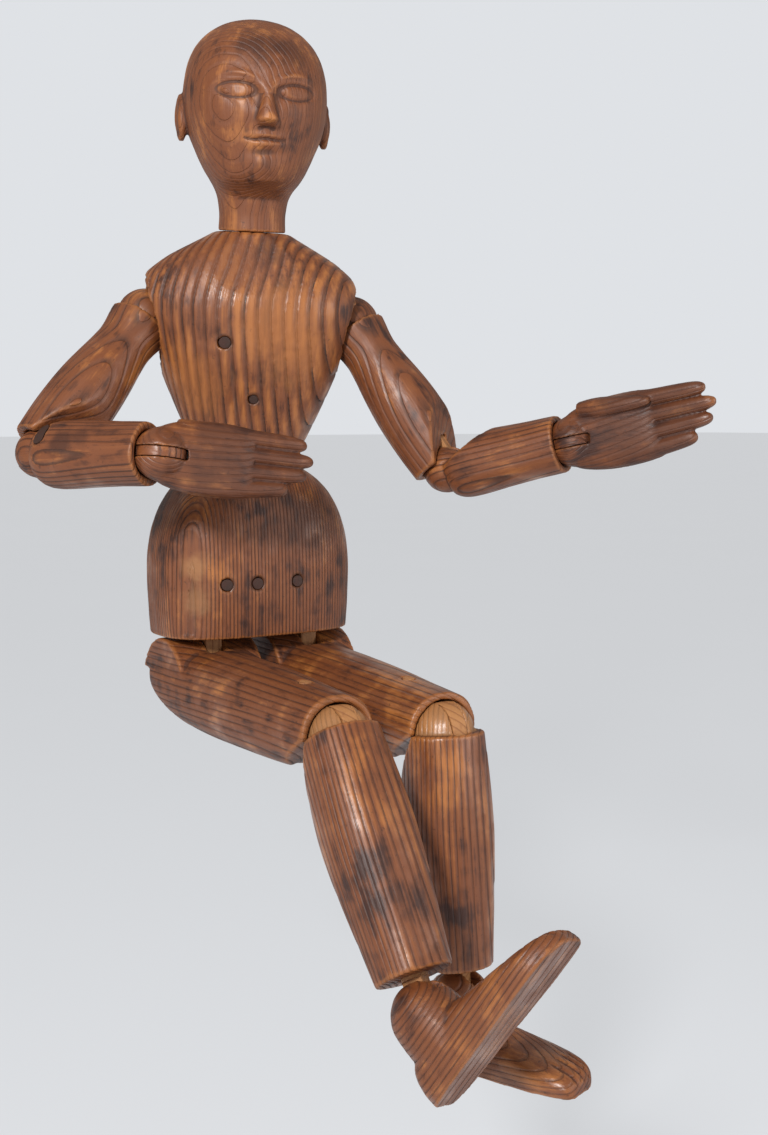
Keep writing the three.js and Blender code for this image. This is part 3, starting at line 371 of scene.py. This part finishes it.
def grain_tree():
    """Geometry nodes that press the ring lines of a tree into a carved surface."""
    tree = bpy.data.node_groups.new("raised_grain", "GeometryNodeTree")
    face = tree.interface
    face.new_socket("Geometry", in_out="INPUT", socket_type="NodeSocketGeometry")
    face.new_socket("Pith", in_out="INPUT", socket_type="NodeSocketVector")
    face.new_socket("Turn", in_out="INPUT", socket_type="NodeSocketVector")
    face.new_socket("Spacing", in_out="INPUT", socket_type="NodeSocketFloat")
    face.new_socket("Wander", in_out="INPUT", socket_type="NodeSocketFloat")
    face.new_socket("Depth", in_out="INPUT", socket_type="NodeSocketFloat")
    face.new_socket("Material", in_out="INPUT", socket_type="NodeSocketMaterial")
    face.new_socket("Geometry", in_out="OUTPUT", socket_type="NodeSocketGeometry")
    sheet = Sheet(tree)
    entry = tree.nodes.new("NodeGroupInput")
    given = {socket.name: Value(sheet, socket) for socket in entry.outputs if socket.name}
    position = sheet.node("GeometryNodeInputPosition")
    normal = sheet.node("GeometryNodeInputNormal")
    inputs = [given[key] for key in ("Pith", "Turn", "Spacing", "Wander")]
    ring, _ = ring_field(sheet, position, *inputs)
    groove = late_wood(sheet, ring)
    rise = (0.35 - groove) * given["Depth"] * MM
    offset = sheet.scale(normal, rise)
    moved = sheet.node("GeometryNodeSetPosition", None, {"Geometry": given["Geometry"], "Offset": offset})
    real = sheet.node("GeometryNodeRealizeInstances", None, {"Geometry": moved})
    dressed = sheet.node("GeometryNodeSetMaterial", None, {"Geometry": real, "Material": given["Material"]})
    leave = tree.nodes.new("NodeGroupOutput")
    tree.links.new(dressed.socket, leave.inputs[0])
    return tree


def raise_grain(piece, grain, depth, material):
    """Runs the raised grain on a piece and keeps the result as its plain mesh."""
    tree = bpy.data.node_groups.get("raised_grain") or grain_tree()
    modifier = piece.modifiers.new("grain", "NODES")
    modifier.node_group = tree
    values = {
        "Pith": grain.pith,
        "Turn": grain.turn,
        "Spacing": grain.spacing,
        "Wander": grain.wander,
        "Depth": depth,
        "Material": material,
    }
    for item in tree.interface.items_tree:
        if item.in_out == "INPUT" and item.name in values:
            modifier[item.identifier] = values[item.name]
    keep_evaluated(piece)


def keep_evaluated(piece):
    """Puts a piece's evaluated mesh in place of its base mesh and drops its modifiers."""
    bpy.context.view_layer.update()
    evaluated = piece.evaluated_get(bpy.context.evaluated_depsgraph_get())
    mesh = bpy.data.meshes.new_from_object(evaluated)
    piece.modifiers.clear()
    piece.data = mesh
    mesh.name = piece.name


# Carving


class Place:
    """A piece's own frame: its origin, and its axes as rows, in metres."""

    def __init__(self, origin, across, up):
        self.origin = np.array(origin, float)
        z = np.array(up, float)
        z /= np.linalg.norm(z)
        x = np.array(across, float)
        x -= z * x.dot(z)
        x /= np.linalg.norm(x)
        self.axes = np.array([x, np.cross(z, x), z])

    def local(self, points):
        """Points in this frame, in mm."""
        return (points - self.origin) @ self.axes.T / MM

    def world(self, point):
        """A point of this frame, given in mm, as a place in metres."""
        return self.origin + np.array(point, float) * MM @ self.axes

    def euler(self, tilt_x=0.0, tilt_y=0.0):
        """The turn of a line of pith along Z, tilted by some degrees."""
        turn = Matrix(self.axes.T.tolist())
        tilt = Euler((math.radians(tilt_x), math.radians(tilt_y), 0)).to_matrix()
        return tuple((turn @ tilt).to_euler())

    def grain(self, pith, tilt=(0.0, 0.0), **rest):
        return Grain(tuple(self.world(pith)), self.euler(*tilt), **rest)


def joint_place(joint):
    return np.array(JOINTS[joint]["pos_m"], float)


def joint_axis(joint):
    return np.array(JOINTS[joint]["axis"], float)


def turned(axis, degrees, vector):
    axis = axis / np.linalg.norm(axis)
    angle = math.radians(degrees)
    side = np.cross(axis, vector)
    return vector * math.cos(angle) + side * math.sin(angle) + axis * axis.dot(vector) * (1 - math.cos(angle))


def copy_node(node, name):
    """A merged copy of a CAD node as an object of its own."""
    mesh = frame["nodes"][node].data.copy()
    mesh.name = name
    mesh.materials.clear()
    form = bmesh.new()
    form.from_mesh(mesh)
    bmesh.ops.remove_doubles(form, verts=form.verts, dist=0.002 * MM)
    crease = form.edges.layers.float.new("crease_edge")
    for edge in form.edges:
        sharp = len(edge.link_faces) != 2 or edge.calc_face_angle() > SHARP
        edge[crease] = 1.0 if sharp else 0.0
    form.to_mesh(mesh)
    form.free()
    piece = bpy.data.objects.new(name, mesh)
    bpy.context.scene.collection.objects.link(piece)
    return piece


def round_off(piece):
    """Smooths the facets of a piece between its crisp edges."""
    rounder = piece.modifiers.new("round", "SUBSURF")
    rounder.levels = 2
    rounder.render_levels = 2


class Surface:
    """The points of a carved mesh, with the moves that a carver's tool makes."""

    def __init__(self, piece):
        self.mesh = piece.data
        count = len(self.mesh.vertices)
        self.points = np.empty(count * 3)
        self.mesh.vertices.foreach_get("co", self.points)
        self.points = self.points.reshape(-1, 3)
        pairs = np.empty(len(self.mesh.edges) * 2, int)
        self.mesh.edges.foreach_get("vertices", pairs)
        self.pairs = pairs.reshape(-1, 2)
        self.degree = np.bincount(self.pairs.ravel(), minlength=count).clip(1)[:, None]

    def neighbour_mean(self, values):
        total = np.zeros_like(values)
        a, b = self.pairs.T
        for k in range(values.shape[1]):
            column = np.bincount(a, values[b, k], len(values)) + np.bincount(b, values[a, k], len(values))
            total[:, k] = column
        return total / self.degree

    def relax(self, rounds):
        for _ in range(rounds):
            self.points += 0.5 * (self.neighbour_mean(self.points) - self.points)

    def normals(self):
        self.store()
        out = np.empty(len(self.points) * 3)
        self.mesh.vertex_normals.foreach_get("vector", out)
        return out.reshape(-1, 3)

    def push(self, amount):
        """Moves each point along its normal by an amount in mm."""
        self.points += self.normals() * (np.asarray(amount) * MM)[:, None]

    def shift(self, direction, amount):
        """Moves each point along one direction by an amount in mm."""
        self.points += np.outer(np.asarray(amount) * MM, direction)

    def plane_off(self, place, normal, depth, low, high):
        """Shaves a flat facet, a depth in mm under the furthest point, between two heights of the piece."""
        spot = place.local(self.points)
        normal = np.array(normal, float) / np.linalg.norm(normal)
        reach = spot @ normal
        band = (spot[:, 2] > low) & (spot[:, 2] < high)
        level = reach[band].max() - depth
        over = np.where(band, (reach - level).clip(0), 0)
        self.shift(-(normal @ place.axes), over * 0.9)

    def store(self):
        self.mesh.vertices.foreach_set("co", self.points.ravel())
        self.mesh.update()

    def mark_wear(self):
        """Keeps how far each point stands out of its surroundings, for the rubbed edges and the grime."""
        normals = self.normals()
        smooth = self.points.copy()
        for _ in range(14):
            smooth += 0.6 * (self.neighbour_mean(smooth) - smooth)
        out = ((self.points - smooth) * normals).sum(1) / (0.35 * MM)
        wear = self.mesh.attributes.new("wear", "FLOAT", "POINT")
        wear.data.foreach_set("value", out.clip(-2, 2))


def bell(value, middle, width):
    return np.exp(-(((value - middle) / width) ** 2))


def carve(name, node, voxel, grain, finish, body, sculpt=None, rounds=2, marks=()):
    """One stained piece: the CAD form made round and even, carved, given its grain, and put on its body."""
    piece = copy_node(node, name)
    round_off(piece)
    remesh = piece.modifiers.new("even", "REMESH")
    remesh.mode = "VOXEL"
    remesh.voxel_size = voxel * MM
    keep_evaluated(piece)
    surface = Surface(piece)
    surface.relax(rounds)
    if sculpt:
        sculpt(surface)
    surface.store()
    surface.mark_wear()
    material = stained_pine(name, grain, finish, marks)
    raise_grain(piece, grain, grain.depth * finish.relief, material)
    piece.data.shade_smooth()
    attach(piece, body)
    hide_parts(node)
    return piece


def turn_piece(name, node, material, body, bevel=0.5, slack=0.0):
    """A small piece of a joint: the CAD form with its edges eased, and sanded down by a slack in mm."""
    piece = copy_node(node, name)
    round_off(piece)
    easing = piece.modifiers.new("ease", "BEVEL")
    easing.width = bevel * MM
    easing.segments = 2
    easing.limit_method = "ANGLE"
    easing.angle_limit = SHARP
    if slack:
        sanding = piece.modifiers.new("sand", "DISPLACE")
        sanding.mid_level = 0
        sanding.strength = -slack * MM
    keep_evaluated(piece)
    piece.data.materials.clear()
    piece.data.materials.append(material)
    piece.data.shade_smooth()
    piece.data.set_sharp_from_angle(angle=SHARP)
    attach(piece, body)
    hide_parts(node)
    return piece


# The frames of the pieces


def chest_place():
    return Place(joint_place("waist_lean"), joint_axis("right_shoulder_swing"), joint_axis("neck_turn"))


def head_place():
    up = joint_axis("neck_turn")
    across = turned(up, NECK_REST_TURN, joint_axis("right_shoulder_swing"))
    return Place(joint_place("neck_turn"), across, up)


def pelvis_place():
    return Place((0, 0, 0), (1, 0, 0), (0, 0, 1))


def limb_place(start, end, hinge):
    up = joint_place(start) - joint_place(end)
    return Place(joint_place(start), joint_axis(hinge), up)


def node_points(node):
    mesh = frame["nodes"][node].data
    points = np.empty(len(mesh.vertices) * 3)
    mesh.vertices.foreach_get("co", points)
    return points.reshape(-1, 3)


def hand_place(side):
    """The wrist, with Z from the fingertips to the wrist and Y along the wrist's pin."""
    wrist = joint_place(f"{side}_wrist_bend")
    points = node_points(f"{side}_hand")
    tip = points[np.linalg.norm(points - wrist, axis=1).argmax()]
    up = wrist - tip
    pin = joint_axis(f"{side}_wrist_bend")
    up = up - pin * pin.dot(up)
    return Place(wrist, np.cross(pin, up), up)


def foot_place(side):
    """The ankle, with Z square to the sole and X along the ankle's pin."""
    mesh = frame["nodes"][f"{side}_foot"].data
    pin = joint_axis(f"{side}_ankle_bend")
    shares = {}
    for face in mesh.polygons:
        normal = np.array(face.normal)
        key = tuple(np.round(normal, 2))
        shares[key] = shares.get(key, 0) + face.area
    sole = np.array(max(shares, key=shares.get))
    return Place(joint_place(f"{side}_ankle_bend"), pin, -sole)


# Operators


def finish_settings():
    return bpy.context.scene.lay_figure_finish


class CarveHead(bpy.types.Operator):
    """Carve the head: brow, eyes, nose, mouth, chin and ears"""

    bl_idname = "lay_figure.head"
    bl_label = "Head"

    def execute(self, context):
        place = head_place()
        finish = finish_settings()
        grain = place.grain((160, 210, 0), (1, 1), spacing=2.3, wander=4.0, depth=0.04, line=0.12, gloss=0.2)
        marks = (
            Mark(place.world((-4, -36, 97)), 17, finish.deep, 0.75, 1.4),
            Mark(place.world((14, -34, 90)), 13, finish.deep, 0.6, 1.4),
            Mark(place.world((-20, -30, 66)), 8, finish.deep, 0.4, 1.4),
            Mark(place.world((1, -43, 35)), 8, finish.deep, 0.5, 1.4),
            Mark(place.world((0.5, -50, 57)), 4.6, finish.worn, 0.85, 0.9),
        )
        sculpt = lambda s: self.face(s, place)
        carve("head_carved", "head", 0.75, grain, finish, "head", sculpt, 3, marks)
        dowel = bare_pine("neck_dowel_wood", grain, finish_settings())
        turn_piece("neck_dowel_turned", "neck_dowel", dowel, "head")
        return {"FINISHED"}

    @staticmethod
    def face(surface, place):
        x, y, z = place.local(surface.points).T
        front = 1 / (1 + np.exp((y + 22) / 2.5))
        side = np.abs(x)
        eye_out, eye_level, brow_level = 15.5, 71.0, 79.5
        nose_level, lip_level, chin_level = 55.5, 47.4, 33.5
        out = np.zeros(len(x))
        socket = bell(side, eye_out, 9.5) * bell(z, eye_level + 0.5, 6.0)
        out -= 1.8 * socket
        out -= 1.6 * bell(side, 6.5, 3.6) * bell(z, eye_level - 2, 6.0)
        lens = ((side - eye_out) / 7.6) ** 2 + ((z - eye_level) / 3.1) ** 2
        out += 1.0 * np.exp(-(lens**2))
        out -= 0.6 * np.exp(-(((np.sqrt(lens) - 1.24) / 0.2) ** 2))
        out += 0.5 * np.exp(-(((np.sqrt(lens) - 1.75) / 0.26) ** 2)) * (z > eye_level - 1)
        arch = brow_level - ((side - 16) / 9.5) ** 2 * 2.4
        out += 1.3 * bell(z, arch, 1.7) * bell(side, 13, 9)
        out += 0.8 * bell(side, 4.6, 2.0) * bell(z, nose_level, 2.2)
        out -= 0.8 * bell(side, 3.2, 1.1) * bell(z, nose_level - 2.7, 0.9)
        parting = lip_level + 0.35 * np.cos(x * 0.5)
        mouth = 1 / (1 + np.exp((side - 9.5) / 1.0))
        out -= 1.1 * bell(z, parting, 0.75) * mouth
        out += 0.9 * bell(z, lip_level + 2, 1.4) * bell(side, 0, 7.5)
        out += 1.1 * bell(z, lip_level - 2.4, 1.7) * bell(side, 0, 6.5)
        out -= 0.9 * bell(z, 40.8, 2.4) * bell(side, 0, 8)
        out += 1.5 * bell(z, chin_level, 5) * bell(side, 0, 8)
        out -= 0.6 * bell(side, 10.5, 2.2) * bell(z, 50, 5)
        surface.shift(-place.axes[1], out * front)
        ear = np.exp(-(((y - 3.5) / 4.2) ** 4) - ((z - 58) / 7.5) ** 4) * (side > 38)
        surface.shift(place.axes[0], -1.6 * ear * np.sign(x))


class CarveChest(bpy.types.Operator):
    """Carve the chest with its deep ring lines, and its pegs"""

    bl_idname = "lay_figure.chest"
    bl_label = "Chest"

    def execute(self, context):
        finish = finish_settings()
        place = chest_place()
        rings = {"spacing": 5.6, "wander": 3.0, "depth": 0.75, "line": 0.95, "crest": 0.75}
        grain = place.grain((-150, 80, 0), (1, -1), **rings)
        marks = (
            Mark(place.world((12, -37, 42)), 30, finish.worn, 0.55, 1.5),
            Mark(place.world((24, -35, 20)), 22, finish.worn, 0.45, 1.5),
            Mark(place.world((-34, -28, 8)), 26, finish.worn, 0.4, 1.5),
            Mark(place.world((-18, -27, 74)), 30, finish.stain, 0.6, 1.2),
            Mark(place.world((8, -22, 78)), 12, finish.deep, 0.55, 1.4),
        )
        marks += peg_grime(place, finish, ((-16.5, -36, 30.4), (0, -34, 0)))
        sculpt = lambda s: s.plane_off(place, (0, -0.9, 0.43), 1.4, 45, 92)
        carve("chest_carved", "chest_block", 0.88, grain, finish, "chest", sculpt, 2, marks)
        dark = peg_wood("chest_pegs", finish)
        for node in ("right_shoulder_peg", "left_shoulder_peg", "neck_peg", "waist_lean_pin"):
            turn_piece(f"{node}_turned", node, dark, "chest", bevel=0.3)
        return {"FINISHED"}


class CarvePelvis(bpy.types.Operator):
    """Carve the pelvis with its ring figure, its tongues and its pegs"""

    bl_idname = "lay_figure.pelvis"
    bl_label = "Pelvis"

    def execute(self, context):
        finish = finish_settings()
        place = pelvis_place()
        grain = place.grain((-53, -31, 80), (0, 0), spacing=2.1, wander=2.5, depth=0.22, line=0.85, crest=0.3)
        marks = (
            Mark(place.world((-48, -29, 93)), 11, finish.bare, 0.55, 1.4),
            Mark(place.world((-48, -29, 74)), 13, finish.bare, 0.4, 1.6),
            # painted shadow: a dark patch on the pelvis' upper front, where the right hand's shadow falls
            Mark(place.world((20, -37, 120)), 30, finish.deep, 0.45, 1.6),
        )
        mouths = [(-30, -36), (-12.3, -36.5), (12.3, -36.5)]
        marks += peg_grime(place, finish, [(x, y, PEG_LEVEL) for x, y in mouths])
        sculpt = lambda s: self.facet(s, place)
        carve("pelvis_carved", "pelvis_block", 0.85, grain, finish, "pelvis", sculpt, 2, marks)
        dark = peg_wood("pelvis_pegs", finish)
        for node in ("waist_peg_right", "waist_peg_left", "right_hip_peg", "left_hip_peg"):
            turn_piece(f"{node}_turned", node, dark, "pelvis", bevel=0.3)
        bare = bare_pine("hip_tongue_wood", place.grain((40, 60, 0), spacing=2.6), finish)
        for side in SIDES:
            node = f"{side}_hip_tongue"
            turn_piece(f"{node}_sawn", node, bare, "pelvis", bevel=0.6)
        return {"FINISHED"}

    @staticmethod
    def facet(surface, place):
        surface.plane_off(place, (-0.72, -0.69, 0.02), 2.4, 55, 112)


class CarveWaist(bpy.types.Operator):
    """Finish the stem, link and pin that join the chest to the pelvis"""

    bl_idname = "lay_figure.waist"
    bl_label = "Waist"

    def execute(self, context):
        finish = finish_settings()
        grain = pelvis_place().grain((25, 30, 0), spacing=2.4)
        bare = bare_pine("waist_wood", grain, finish)
        turn_piece("waist_stem_turned", "waist_stem", bare, "waist_stem")
        turn_piece("waist_link_sawn", "waist_link", bare, "waist_link", 1.6, 0.6)
        dark = peg_wood("waist_pin_wood", finish)
        turn_piece("waist_bend_pin_turned", "waist_bend_pin", dark, "waist_link", bevel=0.3)
        return {"FINISHED"}


class CarveArms(bpy.types.Operator):
    """Carve the upper arms and forearms, with the pieces of their joints"""

    bl_idname = "lay_figure.arms"
    bl_label = "Arms"

    def execute(self, context):
        for side in SIDES:
            self.arm(side)
        return {"FINISHED"}

    @staticmethod
    def arm(side):
        finish = finish_settings()
        upper = limb_place(f"{side}_arm_twist", f"{side}_elbow_bend", f"{side}_elbow_bend")
        lower = limb_place(f"{side}_elbow_bend", f"{side}_wrist_turn", f"{side}_elbow_bend")
        upper_grain = upper.grain((26, 30, -50), (3, -2), spacing=3.0, wander=4.0, depth=0.16)
        lower_grain = lower.grain((-24, 22, -30), (-3, 3), spacing=3.2, wander=4.0, depth=0.14)
        carve(f"{side}_upper_arm_carved", f"{side}_upper_arm", 0.9, upper_grain, finish, f"{side}_upper_arm")
        plug = lower.local(node_points(f"{side}_elbow_plug")).mean(0)
        outer = 16 * np.sign(plug[0])
        stains = (
            Mark(lower.world((outer, 6, -26)), 10, finish.deep, 0.75, 1.2),
            Mark(lower.world((outer, 2, -36)), 9, finish.deep, 0.6, 1.4),
        )
        carve(
            f"{side}_forearm_carved", f"{side}_forearm", 0.8, lower_grain, finish, f"{side}_forearm",
            None, 2, stains,
        )
        bare = bare_pine(f"{side}_arm_joint_wood", upper_grain, finish)
        for node, body in (
            (f"{side}_arm_stem", f"{side}_arm_stem"),
            (f"{side}_elbow_tongue", f"{side}_upper_arm"),
        ):
            turn_piece(f"{node}_turned", node, bare, body, 1.3, 0.4)
        tongue = stained_pine(f"{side}_wrist_wood", lower_grain, finish)
        node = f"{side}_wrist_tongue"
        turn_piece(f"{node}_sawn", node, tongue, f"{side}_wrist", 0.9, 0.3)
        node = f"{side}_shoulder_ball"
        carve(f"{side}_shoulder_turned", node, 0.9, upper_grain, finish, f"{side}_shoulder")
        dark = peg_wood(f"{side}_arm_pegs", finish)
        for node, body in (
            (f"{side}_shoulder_pin", f"{side}_shoulder"),
            (f"{side}_elbow_pin", f"{side}_forearm"),
            (f"{side}_elbow_plug", f"{side}_forearm"),
            (f"{side}_wrist_pin", f"{side}_hand"),
        ):
            turn_piece(f"{node}_turned", node, dark, body, bevel=0.3)


class CarveHands(bpy.types.Operator):
    """Carve the hands with their fingers"""

    bl_idname = "lay_figure.hands"
    bl_label = "Hands"

    def execute(self, context):
        for side in SIDES:
            place = hand_place(side)
            grain = place.grain((20, 26, -40), (2, 2), spacing=2.4, wander=3.0, depth=0.08, line=0.25)
            finish = finish_settings()
            grime = (Mark(place.world((0, 0, -42)), 62, finish.deep, 0.55, 1.5),)
            carve(f"{side}_hand_carved", f"{side}_hand", 0.6, grain, finish, f"{side}_hand", None, 3, grime)
        return {"FINISHED"}


class CarveLegs(bpy.types.Operator):
    """Carve the thighs and lower legs, with the pieces of their joints"""

    bl_idname = "lay_figure.legs"
    bl_label = "Legs"

    def execute(self, context):
        for side in SIDES:
            self.leg(side)
        return {"FINISHED"}

    @staticmethod
    def leg(side):
        finish = finish_settings()
        upper = limb_place(f"{side}_hip_bend", f"{side}_knee_bend", f"{side}_hip_bend")
        lower = limb_place(f"{side}_knee_bend", f"{side}_ankle_turn", f"{side}_knee_bend")
        upper_grain = upper.grain((-38, 52, -70), (-2, 3), spacing=3.4, wander=5.0, depth=0.15)
        lower_grain = lower.grain((-46, 34, -60), (2, -1), spacing=2.7, wander=3.5, depth=0.22, crest=0.4)
        carve(f"{side}_thigh_carved", f"{side}_thigh", 1.0, upper_grain, finish, f"{side}_thigh")
        ball = (Mark(joint_place(f"{side}_knee_bend"), 16.9, finish.bare, 0.65, 0.1),)
        carve(
            f"{side}_lower_leg_carved", f"{side}_lower_leg", 0.9, lower_grain, finish, f"{side}_lower_leg",
            None, 2, ball,
        )
        bare = bare_pine(f"{side}_leg_joint_wood", upper_grain, finish)
        for node, body in (
            (f"{side}_knee_tongue", f"{side}_thigh"),
            (f"{side}_knee_peg", f"{side}_thigh"),
            (f"{side}_ankle_tongue", f"{side}_ankle"),
        ):
            turn_piece(f"{node}_turned", node, bare, body, bevel=0.4)
        dark = peg_wood(f"{side}_leg_pegs", finish)
        for node, body in (
            (f"{side}_hip_pin", f"{side}_thigh"),
            (f"{side}_knee_pin", f"{side}_lower_leg"),
            (f"{side}_ankle_pin", f"{side}_foot"),
        ):
            turn_piece(f"{node}_turned", node, dark, body, bevel=0.3)


class CarveFeet(bpy.types.Operator):
    """Carve the feet with their toe grooves"""

    bl_idname = "lay_figure.feet"
    bl_label = "Feet"

    def execute(self, context):
        for side in SIDES:
            place = foot_place(side)
            grain = place.grain((-34, 20, 40), (88, 2), spacing=2.6, wander=3.0, depth=0.16, line=0.6)
            sculpt = lambda s, place=place: self.toes(s, place)
            finish = finish_settings()
            carve(f"{side}_foot_carved", f"{side}_foot", 0.8, grain, finish, f"{side}_foot", sculpt)
        return {"FINISHED"}

    @staticmethod
    def toes(surface, place):
        x, y, z = place.local(surface.points).T
        front = 1 / (1 + np.exp((y + 56) / 1.2))
        top = 1 / (1 + np.exp((-24 - z) / 1.0))
        out = np.zeros(len(x))
        for groove in (-7.5, -1.5, 4.0, 9.0):
            out -= 1.3 * bell(x, groove, 0.9)
        surface.push(out * front * top)


class SetStage(bpy.types.Operator):
    """Set the floor, the lamps, the world and the camera"""

    bl_idname = "lay_figure.stage"
    bl_label = "Stage"

    def execute(self, context):
        settings = context.scene.lay_figure_stage
        self.floor(settings)
        self.lamp("key_lamp", KEY_PLACE, 0.24, settings.key_power)
        self.lamp("fill_lamp", FILL_PLACE, 0.9, settings.fill_power)
        self.world(context.scene, settings)
        self.camera(context.scene, settings)
        context.scene.view_settings.view_transform = "Standard"
        return {"FINISHED"}

    @staticmethod
    def floor(settings):
        form = bmesh.new()
        bmesh.ops.create_grid(form, x_segments=24, y_segments=24, size=FLOOR_REACH)
        bmesh.ops.translate(form, verts=form.verts, vec=(0, 0, settings.floor_level))
        mesh = bpy.data.meshes.new("floor")
        form.to_mesh(mesh)
        form.free()
        mesh.materials.append(pale_floor("floor_paint", settings.floor_tint))
        floor = bpy.data.objects.new("floor", mesh)
        bpy.context.scene.collection.objects.link(floor)

    @staticmethod
    def lamp(name, place, size, power):
        data = bpy.data.lights.new(name, "AREA")
        data.shape = "DISK"
        data.size = size
        data.energy = power
        lamp = bpy.data.objects.new(name, data)
        lamp.location = place
        aim = LAMP_AIM - Vector(place)
        lamp.rotation_euler = aim.to_track_quat("-Z", "Y").to_euler()
        bpy.context.scene.collection.objects.link(lamp)

    @staticmethod
    def world(scene, settings):
        world = bpy.data.worlds.new("studio")
        scene.world = world
        world.use_nodes = True
        world.node_tree.nodes.clear()
        sheet = Sheet(world.node_tree)
        path = world.node_tree.nodes.new("ShaderNodeLightPath")
        seen = Value(sheet, path.outputs["Is Camera Ray"]) + Value(sheet, path.outputs["Is Transmission Ray"])
        color = sheet.mix(seen, AMBIENT, rgba(settings.floor_tint))
        light = sheet.node("ShaderNodeBackground", None, {"Color": color, "Strength": 0.4 + seen * 0.6})
        sheet.node("ShaderNodeOutputWorld", None, {"Surface": light})

    @staticmethod
    def camera(scene, settings):
        data = bpy.data.cameras.new("camera")
        data.sensor_fit = "VERTICAL"
        data.sensor_height = 36
        data.lens = settings.lens
        camera = bpy.data.objects.new("camera", data)
        camera.location = CAMERA_PLACE
        camera.rotation_euler = CAMERA_TURN
        scene.collection.objects.link(camera)
        scene.camera = camera


class LayFigurePanel(bpy.types.Panel):
    """The figure's pieces and finishes"""

    bl_label = "Lay Figure"
    bl_idname = "VIEW3D_PT_lay_figure"
    bl_space_type = "VIEW_3D"
    bl_region_type = "UI"
    bl_category = "Lay Figure"

    def draw(self, context):
        for operator in OPERATORS:
            self.layout.operator(operator.bl_idname)
        for key in ("lay_figure_finish", "lay_figure_stage"):
            settings = getattr(context.scene, key)
            for name in settings.__annotations__:
                self.layout.prop(settings, name)


OPERATORS = (
    CarvePelvis,
    CarveWaist,
    CarveChest,
    CarveHead,
    CarveArms,
    CarveHands,
    CarveLegs,
    CarveFeet,
    SetStage,
)
CLASSES = (FinishSettings, StageSettings, *OPERATORS, LayFigurePanel)


def register():
    for cls in CLASSES:
        bpy.utils.register_class(cls)
    bpy.types.Scene.lay_figure_finish = bpy.props.PointerProperty(type=FinishSettings)
    bpy.types.Scene.lay_figure_stage = bpy.props.PointerProperty(type=StageSettings)


def unregister():
    del bpy.types.Scene.lay_figure_stage
    del bpy.types.Scene.lay_figure_finish
    for cls in reversed(CLASSES):
        bpy.utils.unregister_class(cls)


def main():
    register()
    for operator in OPERATORS:
        group, name = operator.bl_idname.split(".")
        getattr(getattr(bpy.ops, group), name)()


if __name__ == "__main__":
    main()
